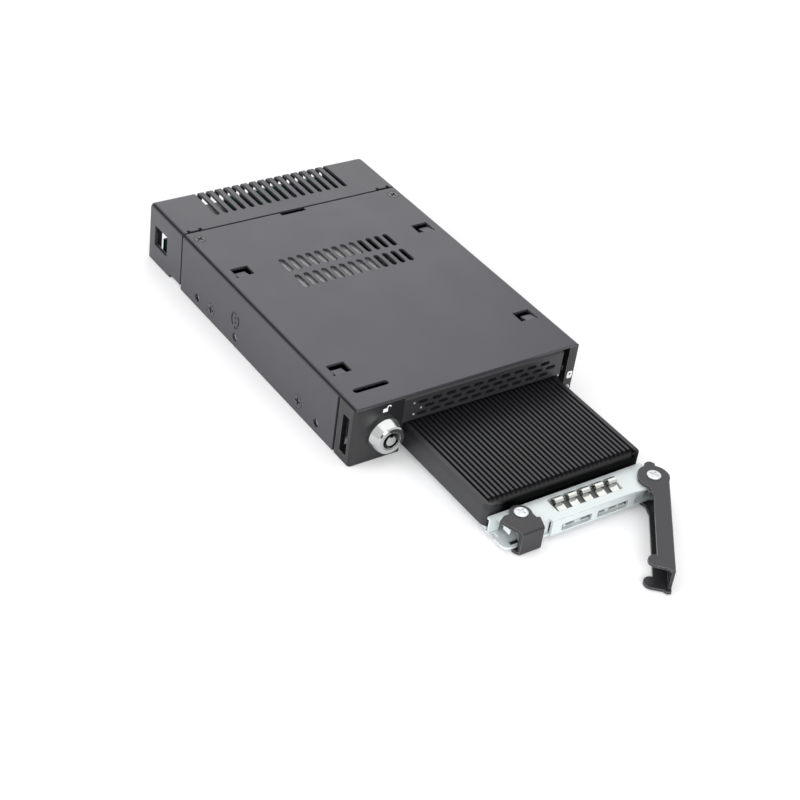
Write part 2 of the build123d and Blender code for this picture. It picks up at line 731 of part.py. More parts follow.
# Tray: one folded sheet with the floor, the fascia and the plate over it
with BuildPart() as tray_pan:
    pan_top = tray_floor_z + tray_sheet
    with BuildSketch(Plane.XY.offset(tray_floor_z)) as floor_outline:
        with Locations((drive_x, (plate_rear_y + tray_rear_y) / 2)):
            Rectangle(2 * tray_half, tray_rear_y - plate_rear_y)
        fillet(floor_outline.vertices().group_by(Axis.Y)[-1], drive_corner)
        with Locations(((plate_x_left + fascia_x_left) / 2, (floor_front_y + plate_rear_y) / 2)):
            Rectangle(fascia_x_left - plate_x_left, plate_rear_y - floor_front_y)
        fillet(floor_outline.vertices().group_by(Axis.Y)[0].sort_by(Axis.X)[0], floor_round)
        with Locations(((fascia_x_left + lever_x) / 2, (tray_front_y + plate_rear_y) / 2)):
            Rectangle(lever_x - fascia_x_left, plate_rear_y - tray_front_y)
        with Locations((lever_x, lever_y)):
            Circle(boss_radius)
            with Locations((0, (plate_rear_y - lever_y) / 2)):
                Rectangle(2 * boss_radius - 3, plate_rear_y - lever_y)
    extrude(amount=tray_sheet)
    with BuildSketch(Plane.XY.offset(tray_plate_top)) as plate_outline:
        with Locations(((plate_x_wing + fascia_x_left) / 2, (wing_front_y + plate_rear_y) / 2)):
            Rectangle(fascia_x_left - plate_x_wing, plate_rear_y - wing_front_y)
        fillet(plate_outline.vertices().group_by(Axis.Y)[0].sort_by(Axis.X)[0], wing_round)
        with Locations(((fascia_x_left + fascia_x_right) / 2, (tray_front_y + plate_rear_y) / 2)):
            Rectangle(fascia_x_right - fascia_x_left, plate_rear_y - tray_front_y)
        with Locations(((fascia_x_right + lever_x) / 2, (tray_front_y - plate_proud + plate_rear_y) / 2)):
            Rectangle(lever_x - fascia_x_right, plate_rear_y - tray_front_y + plate_proud)
        with Locations(((plate_x_left + latch_x) / 2, plate_rear_y - post_setback)):
            Rectangle(latch_x - plate_x_left, 2 * post_setback)
        with Locations((lever_x, lever_y)):
            Circle(boss_radius)
        with Locations(((lever_x + plate_x_right) / 2, (lever_y + plate_rear_y) / 2)):
            Rectangle(plate_x_right - lever_x, plate_rear_y - lever_y)
        with Locations((spring_slot_x, spring_slot_y)):
            RectangleRounded(spring_slot_length, spring_slot_width, 0.5, mode=Mode.SUBTRACT)
    extrude(amount=-tray_sheet)
    fascia_height = tray_plate_top - tray_floor_z
    fascia_x = (fascia_x_left + fascia_x_right) / 2
    with Locations((fascia_x, tray_front_y + tray_sheet / 2, tray_floor_z + fascia_height / 2)):
        Box(fascia_x_right - fascia_x_left, tray_sheet, fascia_height)
    post_y = plate_rear_y - post_setback - tray_sheet / 2
    with Locations((plate_x_left + post_width / 2, post_y, tray_floor_z + fascia_height / 2)):
        Box(post_width, tray_sheet, fascia_height)
    with Locations((inner_tab_x, inner_tab_y, tray_floor_z + fascia_height / 2)):
        Box(inner_tab_width, tray_sheet, fascia_height)
    with Locations((fascia_x_right + right_tab_width / 2, inner_tab_y, tray_floor_z + fascia_height / 2)):
        Box(right_tab_width, tray_sheet, fascia_height)
    # lip folded down along the rounded corner of the plate
    with BuildSketch(Plane.XY.offset(lip_low_z)) as lip_outline:
        with Locations((plate_x_wing + lip_length / 2, wing_front_y + lip_length / 2)):
            Rectangle(lip_length, lip_length)
        fillet(lip_outline.vertices().group_by(Axis.Y)[0].sort_by(Axis.X)[0], wing_round)
        with Locations((plate_x_wing + lip_length / 2 + lip_width, wing_front_y + lip_length / 2 + lip_width)):
            Rectangle(lip_length, lip_length, mode=Mode.SUBTRACT)
    extrude(amount=tray_plate_top - tray_sheet - lip_low_z)
    with Locations((plate_x_left + edge_notch_size[0] / 2, edge_notch_y, tray_floor_z + tray_sheet / 2)):
        Box(edge_notch_size[0], edge_notch_size[1], 2 * tray_sheet, mode=Mode.SUBTRACT)
    with BuildSketch(station(tray_front_y)):
        for window_x, window_width in zip(fascia_window_x, fascia_window_width):
            with Locations((window_x, fascia_window_z)):
                RectangleRounded(window_width, fascia_window_height, 0.4)
    extrude(amount=-tray_sheet, mode=Mode.SUBTRACT)
    with BuildSketch(Plane.XY):
        with Locations((lever_x, lever_y), (latch_x, latch_y)):
            Circle(rivet_shank / 2 + shaft_gap)
        with Locations((tongue_hole_x, tongue_hole_y)):
            Rectangle(*tongue_hole_size)
    extrude(amount=case_height, mode=Mode.SUBTRACT)
    with Locations(*[
        (drive_x + side * drive_screw_x / 2, drive_front_y + y, tray_floor_z)
        for side in (-1, 1)
        for y in drive_screw_y
    ]):
        with Locations(Location((0, 0, 0), (180, 0, 0))):
            CounterSinkHole(
                drive_screw_shank / 2 + fit_gap,
                drive_screw_head / 2 + fit_gap,
                depth=2 * tray_sheet,
                counter_sink_angle=sink_angle(drive_screw_head, drive_screw_shank),
            )
tray_pan.part.label = "tray_pan"
export_step(tray_pan.part, "parts/tray_pan.step")

# Pierced strip behind the fascia windows
with BuildPart() as fascia_insert:
    insert_low = tray_floor_z + tray_sheet + fit_gap
    insert_high = tray_plate_top - tray_sheet - fit_gap
    insert_left = fascia_x_left + 2
    insert_right = fascia_x_right - 1
    with BuildSketch(station(tray_front_y + tray_sheet)):
        with Locations(((insert_left + insert_right) / 2, (insert_low + insert_high) / 2)):
            Rectangle(insert_right - insert_left, insert_high - insert_low)
        with Locations(*[(x, insert_slot_z) for x in insert_slots]):
            Rectangle(insert_slot_width, insert_slot_height, mode=Mode.SUBTRACT)
    extrude(amount=-insert_sheet)
fascia_insert.part.label = "fascia_insert"
export_step(fascia_insert.part, "parts/fascia_insert.step")

# Moulded light block behind the pierced strip, on the floor of the tray
with BuildPart() as light_block:
    block_front_y = tray_front_y + tray_sheet + insert_sheet + fit_gap
    block_rear_y = plate_rear_y - light_block_margin
    block_low = tray_floor_z + tray_sheet
    block_high = tray_plate_top - tray_sheet - finger_sheet - fit_gap
    with Locations((
        (insert_left + insert_right) / 2,
        (block_front_y + block_rear_y) / 2,
        (block_low + block_high) / 2,
    )):
        Box(insert_right - insert_left, block_rear_y - block_front_y, block_high - block_low)
light_block.part.label = "light_block"
export_step(light_block.part, "parts/light_block.step")

# Shielding spring: a frame under the plate, its fingers roll up through the slot
roll_y = spring_slot_y + roll_setback
roll_z = finger_top - roll_radius
roll_angles = [228, 195, 160, 125, 90, 55, 20, -15, -50, -95]


def roll_point(radius, angle):
    """Point on the roll of a finger, seen from the side."""
    return (roll_y + radius * cos(radians(angle)), roll_z + radius * sin(radians(angle)))


with BuildPart() as shield_spring:
    frame_top = tray_plate_top - tray_sheet
    frame_low = frame_top - finger_sheet
    with BuildSketch(Plane.XY.offset(frame_low)):
        with Locations((spring_slot_x, spring_slot_y)):
            Rectangle(spring_slot_length + 2 * frame_rim, spring_slot_width + 2 * frame_rim)
            Rectangle(spring_slot_length - 1, finger_span - 1, mode=Mode.SUBTRACT)
    extrude(amount=finger_sheet)
    finger_planes = [
        Plane.YZ.offset(spring_slot_x + finger_shift + (index - (finger_count - 1) / 2) * finger_pitch)
        for index in range(finger_count)
    ]
    finger_foot = spring_slot_y - finger_span / 2
    with BuildSketch(*finger_planes):
        Polygon(
            (finger_foot, frame_low),
            roll_point(roll_radius, 228),
            *[roll_point(roll_radius - finger_sheet, angle) for angle in roll_angles],
            *[roll_point(roll_radius, angle) for angle in reversed(roll_angles[1:])],
            roll_point(roll_radius, 214),
            (finger_foot, frame_top),
            align=None,
        )
    extrude(amount=finger_width / 2, both=True)
shield_spring.part.label = "shield_spring"
export_step(shield_spring.part, "parts/shield_spring.step")

# Drive case with screw bosses and the opening for its plug
drive_middle_y = drive_front_y + drive_length / 2
drive_screw_places = [
    (drive_x + side * drive_screw_x / 2, drive_front_y + y)
    for side in (-1, 1)
    for y in drive_screw_y
]
with BuildPart() as drive_case:
    with BuildSketch(Plane.XY.offset(drive_bottom)):
        with Locations((drive_x, drive_middle_y)):
            RectangleRounded(drive_width, drive_length, drive_corner)
    extrude(amount=drive_height - lid_thickness)
    with BuildSketch(Plane.XY.offset(drive_bottom + case_floor)):
        with Locations((drive_x, drive_middle_y)):
            RectangleRounded(drive_width - 2 * case_wall, drive_length - 2 * case_wall, drive_corner - case_wall)
    extrude(amount=drive_height, mode=Mode.SUBTRACT)
    with BuildSketch(Plane.XY.offset(drive_bottom + case_floor)):
        with Locations(*drive_screw_places):
            Rectangle(2 * drive_screw_shank, 2 * drive_screw_shank)
    extrude(amount=case_boss)
    with BuildSketch(Plane.XY.offset(drive_bottom)):
        with Locations(*drive_screw_places):
            Circle(drive_screw_shank / 2 + shaft_gap)
    extrude(amount=case_floor + case_boss, mode=Mode.SUBTRACT)
    with Locations((socket_x, drive_rear_y, plug_z)):
        Box(plug_width + 2 * fit_gap, 3 * case_wall, plug_height + 2 * fit_gap, mode=Mode.SUBTRACT)
drive_case.part.label = "drive_case"
export_step(drive_case.part, "parts/drive_case.step")

# Drive lid: ribbed along its length, with a recessed band at the front
with BuildPart() as drive_lid:
    with BuildSketch(Plane.XY.offset(lid_bottom)):
        with Locations((drive_x, drive_middle_y)):
            RectangleRounded(drive_width, drive_length, drive_corner)
    extrude(amount=lid_thickness)
    groove_front = drive_front_y + front_strip + band_width
    groove_length = drive_length - front_strip - band_width - fin_border
    with BuildSketch(Plane.XY.offset(drive_top)):
        with Locations((drive_x, groove_front + groove_length / 2)):
            with GridLocations(fin_pitch, 1, fin_groove_count, 1):
                Rectangle(fin_groove, groove_length)
        with Locations((drive_x, drive_front_y + front_strip + band_width / 2)):
            Rectangle(fin_pitch * (fin_groove_count - 1) + fin_groove, band_width)
    extrude(amount=-fin_depth, mode=Mode.SUBTRACT)
    with BuildSketch(Plane.XY.offset(drive_top)):
        with Locations((drive_x, drive_front_y)):
            Rectangle(drive_width - 2 * rim_corner, 2 * front_strip)
    extrude(amount=-rim_drop, mode=Mode.SUBTRACT)
drive_lid.part.label = "drive_lid"
export_step(drive_lid.part, "parts/drive_lid.step")

# Drive plug: a shroud whose mouth takes the tongue of the socket
with BuildPart() as drive_plug:
    with BuildSketch(station(drive_rear_y)):
        with Locations((socket_x, plug_z)):
            Rectangle(plug_width, plug_height)
    extrude(amount=plug_depth)
    with BuildSketch(station(drive_rear_y)):
        with Locations((socket_x, plug_z)):
            Rectangle(plug_width - 2, tongue_thickness + 4 * run_gap)
    extrude(amount=plug_depth - 0.6, mode=Mode.SUBTRACT)
drive_plug.part.label = "drive_plug"
export_step(drive_plug.part, "parts/drive_plug.step")

# Drive board, on the bosses of the case
board_low = drive_bottom + case_floor + case_boss
board_length = drive_length - 2 * case_wall - plug_depth - 2
with BuildPart() as drive_board:
    with BuildSketch(Plane.XY.offset(board_low)):
        with Locations((drive_x, drive_front_y + case_wall + 1 + board_length / 2)):
            RectangleRounded(drive_width - 2 * case_wall - 1, board_length, 1.0)
    extrude(amount=inner_board)
drive_board.part.label = "drive_board"
export_step(drive_board.part, "parts/drive_board.step")

# Memory chips of the drive
with BuildPart() as memory_chips:
    with Locations((drive_x, drive_middle_y, board_low + inner_board + chip_height / 2)):
        with GridLocations(*chip_pitch, 2, 3):
            Box(*chip_size, chip_height)
memory_chips.part.label = "memory_chips"
export_step(memory_chips.part, "parts/memory_chips.step")

# Drive screws, from below through the tray floor
with BuildPart() as drive_screws:
    for place_x, place_y in drive_screw_places:
        with BuildSketch(Plane(origin=(place_x, place_y, tray_floor_z), x_dir=(1, 0, 0), z_dir=(0, -1, 0))):
            with BuildLine():
                Polyline(
                    (0, 0),
                    (drive_screw_head / 2, 0),
                    (drive_screw_shank / 2, 0.9 * sheet),
                    (drive_screw_shank / 2, drive_screw_length),
                    (0, drive_screw_length),
                    close=True,
                )
            make_face()
        revolve(axis=Axis((place_x, place_y, 0), (0, 0, 1)))
        with Locations((place_x, place_y, tray_floor_z)):
            Box(3.4, 0.7, 0.8, mode=Mode.SUBTRACT)
            Box(0.7, 3.4, 0.8, mode=Mode.SUBTRACT)
drive_screws.part.label = "drive_screws"
export_step(drive_screws.part, "parts/drive_screws.step")

# Pivots of the lever and of the latch: flat head with a cross above, flared end below
rivet_top = lever_top + fit_gap
rivet_crown = rivet_top + rivet_head_height
for rivet_name, rivet_x, rivet_y in (("lever_rivet", lever_x, lever_y), ("latch_rivet", latch_x, latch_y)):
    with BuildPart() as rivet:
        with BuildSketch(Plane(origin=(rivet_x, rivet_y, 0), x_dir=(1, 0, 0), z_dir=(0, -1, 0))):
            with BuildLine():
                Polyline(
                    (0, lever_bottom),
                    (flare / 2, lever_bottom),
                    (rivet_shank / 2, lever_bottom + flare_height),
                    (rivet_shank / 2, rivet_top),
                    (rivet_head / 2, rivet_top),
                    (rivet_head / 2, rivet_top + 0.5 * rivet_head_height),
                    (0.4 * rivet_head, rivet_crown),
                    (0, rivet_crown),
                    close=True,
                )
            make_face()
        revolve(axis=Axis((rivet_x, rivet_y, 0), (0, 0, 1)))
        with Locations((rivet_x, rivet_y, rivet_crown)):
            Box(rivet_cross[0], rivet_cross[1], 2 * rivet_cross_depth, rotation=(0, 0, 30), mode=Mode.SUBTRACT)
            Box(rivet_cross[1], rivet_cross[0], 2 * rivet_cross_depth, rotation=(0, 0, 30), mode=Mode.SUBTRACT)
    rivet.part.label = rivet_name
    export_step(rivet.part, f"parts/{rivet_name}.step")

# Coil springs round the two rivets, standing on the tray floor
coil_low = tray_floor_z + tray_sheet + spring_wire / 2
for coil_name, coil_x, coil_y in (("lever_spring", lever_x, lever_y), ("latch_spring", latch_x, latch_y)):
    with BuildPart() as coil:
        with BuildLine() as coil_path:
            Helix(spring_pitch, spring_pitch * spring_turns, spring_coil / 2, center=(coil_x, coil_y, coil_low))
        with BuildSketch(coil_path.line ^ 0):
            RegularPolygon(spring_wire / 2, 4)
        sweep(path=coil_path.line, is_frenet=True)
    coil.part.label = coil_name
    export_step(coil.part, f"parts/{coil_name}.step")


def lever_sheet_outline(length, hook_shift):
    """Outline of one flange of the lever: boss, arm, hook and ear."""
    Circle(lever_boss)
    Polygon(
        (-lever_tail, lever_inner),
        (length - 1.2, lever_inner),
        (length - 0.9, lever_outer - 2.6),
        (length, lever_outer - 1.6),
        (length - 0.3, lever_outer),
        (-lever_tail, lever_outer),
        align=None,
    )
    Polygon((0, -lever_boss), (3.0, -5.75), (5.4, -4.3), (7.2, -1.6), (11.9, lever_inner), (0, 0), align=None)
    with Locations((lever_hook_along + hook_shift, lever_hook_across)):
        Circle(lever_hook_radius)
    Polygon((-3.0, -3.3), (-6.2, -3.3), (-7.5, -2.4), (-lever_ear_reach, -1.0), (-7.2, 0.6), (-3.0, 0.8), align=None)


# Eject lever: a channel folded round its outer edge, with a hook at its end
with BuildPart() as eject_lever:
    with BuildSketch(lever_plane(lever_top)):
        lever_sheet_outline(lever_length, 0.0)
    extrude(amount=-lever_sheet)
    with BuildSketch(lever_plane(lever_bottom)):
        lever_sheet_outline(lever_length + lever_overhang, lever_overhang)
    extrude(amount=lever_sheet)
    with BuildSketch(lever_plane(lever_bottom)):
        with Locations((lever_length / 2, lever_outer - lever_sheet / 2)):
            Rectangle(lever_length - 1, lever_sheet)
    extrude(amount=lever_top - lever_bottom)
    fold_edges = eject_lever.edges().filter_by(
        lambda edge: edge.length > 0.8 * lever_length
        and abs(lever_plane(0).to_local_coords(edge.center()).Y - lever_outer) < 0.01
        and edge.center().Z > lever_top - 0.01
    )
    fillet(fold_edges, lever_fold)
    with BuildSketch(Plane.XY):
        with Locations((lever_x, lever_y)):
            Circle(rivet_shank / 2 + shaft_gap)
    extrude(amount=case_height, mode=Mode.SUBTRACT)
    with BuildSketch(Plane(origin=(lever_x, lever_y, 0), x_dir=(1, 0, 0), z_dir=(0, -1, 0))):
        with BuildLine():
            Polyline(
                (0, lever_bottom - 1),
                (flare / 2 + shaft_gap, lever_bottom - 1),
                (flare / 2 + shaft_gap, lever_bottom),
                (rivet_shank / 2 + shaft_gap, lever_bottom + flare_height),
                (0, lever_bottom + flare_height),
                close=True,
            )
        make_face()
    revolve(axis=Axis((lever_x, lever_y, 0), (0, 0, 1)), mode=Mode.SUBTRACT)
eject_lever.part.label = "eject_lever"
export_step(eject_lever.part, "parts/eject_lever.step")

# Latch: folded round its front edge, with a nose for the lever and a stop
latch_plan = Plane(origin=(latch_x, latch_y, lever_top), x_dir=(1, 0, 0), z_dir=(0, 0, 1))
with BuildPart() as latch:
    with BuildSketch(latch_plan):
        Circle(latch_boss)
        Polygon(
            (-2.0, 1.0),
            (-6.3, 1.3),
            (-9.4, -0.4),
            (-8.5, -3.0),
            (-7.6, -5.1),
            (-6.5, -8.0),
            (latch_left, latch_front),
            (latch_right, latch_front),
            (3.9, -7.4),
            (latch_nose, -4.75),
            (3.6, -4.2),
            (3.5, 1.0),
            align=None,
        )
    extrude(amount=-lever_sheet)
    with BuildSketch(latch_plan):
        with Locations(((latch_left + latch_right) / 2, latch_front + lever_sheet / 2)):
            Rectangle(latch_right - latch_left, lever_sheet)
    extrude(amount=lever_bottom - lever_top)
    with BuildSketch(latch_plan):
        with Locations((latch_left + lever_sheet / 2, latch_front + latch_return / 2)):
            Rectangle(lever_sheet, latch_return)
    extrude(amount=lever_bottom + latch_return_z - lever_top)
    with BuildSketch(latch_plan.offset(lever_floor_top - lever_top)):
        Circle(latch_boss)
        Polygon(
            (-latch_boss, 0),
            (-7.6, -7.2),
            (-7.2, -8.6),
            (latch_left + 0.2, latch_front),
            (latch_right, latch_front),
            (latch_right, 0),
            align=None,
        )
    extrude(amount=-lever_sheet)
    latch_fold_edges = latch.edges().filter_by(
        lambda edge: edge.length > 0.8 * (latch_right - latch_left)
        and abs(edge.center().Y - latch_y - latch_front) < 0.01
        and edge.center().Z > lever_top - 0.01
    )
    fillet(latch_fold_edges, latch_fold)
    with BuildSketch(latch_plan):
        Circle(rivet_shank / 2 + shaft_gap)
    extrude(amount=-case_height, mode=Mode.SUBTRACT)
    with BuildSketch(Plane(origin=(latch_x, latch_y, 0), x_dir=(1, 0, 0), z_dir=(0, -1, 0))):
        with BuildLine():
            Polyline(
                (0, lever_bottom - 1),
                (flare / 2 + shaft_gap, lever_bottom - 1),
                (flare / 2 + shaft_gap, lever_bottom),
                (rivet_shank / 2 + shaft_gap, lever_bottom + flare_height),
                (0, lever_bottom + flare_height),
                close=True,
            )
        make_face()
    revolve(axis=Axis((latch_x, latch_y, 0), (0, 0, 1)), mode=Mode.SUBTRACT)
latch.part.label = "latch"
export_step(latch.part, "parts/latch.step")

# Guide rails on the base, one on each side of the tray
guide_length = backplane_y - guide_front_y - 1.0
for guide_name, guide_side in (("guide_left", -1), ("guide_right", 1)):
    guide_x = drive_x + guide_side * (drive_half + guide_gap + guide_width / 2)
    with BuildPart() as guide:
        with Locations((guide_x, guide_front_y + guide_length / 2, base_sheet + guide_height / 2)):
            Box(guide_width, guide_length, guide_height)
        lead_in = guide.edges().filter_by(Axis.Z).group_by(Axis.Y)[0].sort_by(Axis.X)[-1 if guide_side < 0 else 0]
        chamfer(lead_in, guide_width / 2)
    guide.part.label = guide_name
    export_step(guide.part, f"parts/{guide_name}.step")

# Inner shield: a folded sheet over the left half of the bay
shield_left = drive_x - drive_half - guide_gap - guide_width - run_gap
with BuildPart() as bay_shield:
    with BuildSketch(station(shield_y + shield_length / 2)):
        with BuildLine():
            Polyline(
                (shield_x_right, shield_z),
                (shield_x_right, shield_z + shield_sheet),
                (shield_left - shield_sheet, shield_z + shield_sheet),
                (shield_left - shield_sheet, base_sheet + shield_sheet),
                (shield_left - shield_foot, base_sheet + shield_sheet),
                (shield_left - shield_foot, base_sheet),
                (shield_left, base_sheet),
                (shield_left, shield_z),
                close=True,
            )
        make_face()
    extrude(amount=shield_length)
bay_shield.part.label = "bay_shield"
export_step(bay_shield.part, "parts/bay_shield.step")

# Backplane board with its air openings
with BuildPart() as backplane_board:
    board_width = 2 * (base_half - sheet - collar_length - run_gap)
    with BuildSketch(station(backplane_y + board_thickness)):
        with Locations((0, (base_sheet + board_top) / 2)):
            Rectangle(board_width, board_top - base_sheet)
        with Locations((drive_x, (socket_z + socket_height / 2 + board_top) / 2)):
            with GridLocations(air_slot_pitch, 1, 5, 1):
                faceted_slot(*air_slot, mode=Mode.SUBTRACT)
    extrude(amount=board_thickness)
backplane_board.part.label = "backplane_board"
export_step(backplane_board.part, "parts/backplane_board.step")

# Drive socket on the backplane, with its contact tongue
with BuildPart() as drive_socket:
    with BuildSketch(station(backplane_y)):
        with Locations((socket_x, socket_z)):
            Rectangle(socket_width, socket_height)
    extrude(amount=socket_depth)
    with BuildSketch(station(socket_front_y)):
        with Locations((socket_x, socket_z)):
            Rectangle(plug_width - 3, tongue_thickness)
    extrude(amount=mate_gap + tongue_reach)
drive_socket.part.label = "drive_socket"
export_step(drive_socket.part, "parts/drive_socket.step")

# Rear board, flat, with holes for its four screws
rear_board_length = rear_board_rear - rear_board_front
rear_board_y = (rear_board_front + rear_board_rear) / 2
post_places = (rear_board_width - 12.0, rear_board_length - 9.0)
with BuildPart() as rear_board:
    with BuildSketch(Plane.XY.offset(rear_board_z)):
        with Locations((0, rear_board_y)):
            RectangleRounded(rear_board_width, rear_board_length, 1.0)
            with GridLocations(*post_places, 2, 2):
                RegularPolygon(post_hole / 2 + fit_gap, 12, major_radius=False, mode=Mode.SUBTRACT)
    extrude(amount=board_thickness)
rear_board.part.label = "rear_board"
export_step(rear_board.part, "parts/rear_board.step")

# Posts under the rear board
with BuildPart() as board_posts:
    with BuildSketch(Plane.XY.offset(base_sheet)):
        with Locations((0, rear_board_y)):
            with GridLocations(*post_places, 2, 2):
                RegularPolygon(post_hex / 2, 6, major_radius=False)
                RegularPolygon(post_hole / 2 + shaft_gap, 12, major_radius=False, mode=Mode.SUBTRACT)
    extrude(amount=rear_board_z - base_sheet)
board_posts.part.label = "board_posts"
export_step(board_posts.part, "parts/board_posts.step")

# Screws of the rear board, with hexagon heads
with BuildPart() as board_screws:
    with BuildSketch(Plane.XY.offset(board_top_z)):
        with Locations((0, rear_board_y)):
            with GridLocations(*post_places, 2, 2):
                RegularPolygon(post_hole, 6)
    extrude(amount=1.3)
    with BuildSketch(Plane.XY.offset(board_top_z)):
        with Locations((0, rear_board_y)):
            with GridLocations(*post_places, 2, 2):
                RegularPolygon(post_hole / 2, 12)
    extrude(amount=-(board_thickness + 3.5))
board_screws.part.label = "board_screws"
export_step(board_screws.part, "parts/board_screws.step")

# Riser board, upright behind the rear board, cut out round the ports
with BuildPart() as riser_board:
    with BuildSketch(station(riser_y + riser_thickness)):
        with Locations((sum(riser_strip) / 2, (base_sheet + riser_strip_top) / 2)):
            Rectangle(riser_strip[1] - riser_strip[0], riser_strip_top - base_sheet)
        for raised_left, raised_right in riser_raised:
            with Locations(((raised_left + raised_right) / 2, (base_sheet + riser_top) / 2)):
                Rectangle(raised_right - raised_left, riser_top - base_sheet)
        for port_x, port_size in ((data_port_x, data_port_size), (power_port_x, power_port_size)):
            with Locations((port_x, board_top_z + port_size[2] / 2)):
                Rectangle(port_size[0] + 2 * port_gap, port_size[2] + 2 * port_gap, mode=Mode.SUBTRACT)
    extrude(amount=riser_thickness)
riser_board.part.label = "riser_board"
export_step(riser_board.part, "parts/riser_board.step")

# Data port and power port at the rear edge of the board
for port_name, port_x, port_size in (
    ("data_port", data_port_x, data_port_size),
    ("power_port", power_port_x, power_port_size),
):
    with BuildPart() as port:
        with BuildSketch(station(rear_y)):
            with Locations((port_x, board_top_z + port_size[2] / 2)):
                Rectangle(port_size[0], port_size[2])
        extrude(amount=port_size[1])
        with BuildSketch(station(rear_y)):
            with Locations((port_x, board_top_z + port_size[2] / 2)):
                Rectangle(port_size[0] - 2, port_size[2] - 2)
                Rectangle(port_size[0] - 4, tongue_thickness, mode=Mode.SUBTRACT)
        extrude(amount=port_size[1] - 1.5, mode=Mode.SUBTRACT)
    port.part.label = port_name
    export_step(port.part, f"parts/{port_name}.step")

# Top screws of the main cover
with BuildPart() as cover_screws:
    for side in (-1, 1):
        screw_origin = (side * cover_screw_x, cover_screw_y, case_height)
        screw_plane = Plane(origin=screw_origin, x_dir=(1, 0, 0), z_dir=(0, -1, 0))
        with BuildSketch(screw_plane):
            with BuildLine():
                Polyline(
                    (0, 0),
                    (screw_head / 2, 0),
                    (screw_shank / 2, -0.9 * sheet),
                    (screw_shank / 2, -screw_length),
                    (0, -screw_length),
                    close=True,
                )
            make_face()
        revolve(axis=Axis((side * cover_screw_x, cover_screw_y, 0), (0, 0, 1)))
        with Locations((side * cover_screw_x, cover_screw_y, case_height)):
            Box(3.0, 0.6, 1.0, rotation=(0, 0, 35), mode=Mode.SUBTRACT)
            Box(0.6, 3.0, 1.0, rotation=(0, 0, 35), mode=Mode.SUBTRACT)
cover_screws.part.label = "cover_screws"
export_step(cover_screws.part, "parts/cover_screws.step")

# Side screws that hold the base in the main cover
with BuildPart() as side_screws:
    for side in (-1, 1):
        for screw_y in side_screw_y:
            head_x = side * case_width / 2
            screw_plane = Plane(origin=(head_x, screw_y, side_screw_z), x_dir=(-side, 0, 0), z_dir=(0, 0, 1))
            with BuildSketch(screw_plane):
                with BuildLine():
                    Polyline(
                        (0, 0),
                        (0, side_screw_head / 2),
                        (0.9 * sheet, side_screw_shank / 2),
                        (side_screw_length, side_screw_shank / 2),
                        (side_screw_length, 0),
                        close=True,
                    )
                make_face()
            revolve(axis=Axis((head_x, screw_y, side_screw_z), (1, 0, 0)))
            with Locations((head_x, screw_y, side_screw_z)):
                Box(1.0, 3.4, 0.7, mode=Mode.SUBTRACT)
                Box(1.0, 0.7, 3.4, mode=Mode.SUBTRACT)
side_screws.part.label = "side_screws"
export_step(side_screws.part, "parts/side_screws.step")
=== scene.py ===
"""Looks of a solid state drive mobile rack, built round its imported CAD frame.

Meshes are in metres in the frame of the part: +X to the right seen from the front, +Y to the rear, +Z up.
Sizes in the classes are millimetres, with y counted from the front face of the case; the studio is in metres.
"""
import logging
import math
from dataclasses import dataclass
from enum import Enum
from typing import Callable, Optional, Sequence

import bmesh
import bpy
from mathutils import Matrix, Vector


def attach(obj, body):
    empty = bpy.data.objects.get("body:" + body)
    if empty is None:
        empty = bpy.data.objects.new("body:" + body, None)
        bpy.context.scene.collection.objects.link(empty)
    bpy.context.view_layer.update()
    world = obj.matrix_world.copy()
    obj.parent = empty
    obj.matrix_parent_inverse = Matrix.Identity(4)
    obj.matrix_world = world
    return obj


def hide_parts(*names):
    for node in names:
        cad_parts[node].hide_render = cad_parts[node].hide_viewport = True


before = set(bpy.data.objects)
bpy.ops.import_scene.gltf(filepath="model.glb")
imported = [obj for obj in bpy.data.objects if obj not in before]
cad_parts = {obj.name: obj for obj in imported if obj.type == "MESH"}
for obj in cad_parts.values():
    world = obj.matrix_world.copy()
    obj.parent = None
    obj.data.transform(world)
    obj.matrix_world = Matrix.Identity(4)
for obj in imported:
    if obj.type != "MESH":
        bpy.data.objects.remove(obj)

LOG = logging.getLogger("mobile_rack")
MM = 0.001
FACE_Y = -77.5
Point = tuple[float, float]
Place = tuple[float, float, float]
Colour = tuple[float, float, float, float]
Tree = bpy.types.NodeTree
Socket = bpy.types.NodeSocket
Draft = bmesh.types.BMesh
Lift = Callable[[float, float, float], Vector]


class Body(Enum):
    """Bodies of the frame that a piece can ride on."""

    CAGE = "cage"
    TRAY = "tray"
    LEVER = "lever"
    LATCH = "latch"
    LOCK = "lock_core"


class Slot(Enum):
    """Material slots of the record that an added piece can have."""

    STEEL = "plain_steel"
    PRINT = "light_pipe"
    SPRING = "spring_steel"
    CONTACT = "brass_post"
    CHIP = "chip_black"
    PLASTIC = "guide_plastic"


def place(x: float, y: float, z: float) -> Vector:
    """Turns a point of the case into frame metres.

    Args:
        x: millimetres to the right of the middle.
        y: millimetres behind the front face.
        z: millimetres above the underside.

    Returns:
        The point in metres.
    """
    return Vector((x * MM, (FACE_Y + y) * MM, z * MM))


def linear(code: str) -> Colour:
    """Turns a screen colour into the linear one that the shaders take.

    Args:
        code: six hex digits after a hash sign.

    Returns:
        Linear red, green, blue and alpha 1.
    """
    parts = [int(code[i:i + 2], 16) / 255 for i in (1, 3, 5)]
    low = [p / 12.92 if p <= 0.04045 else ((p + 0.055) / 1.055) ** 2.4 for p in parts]
    return (low[0], low[1], low[2], 1.0)


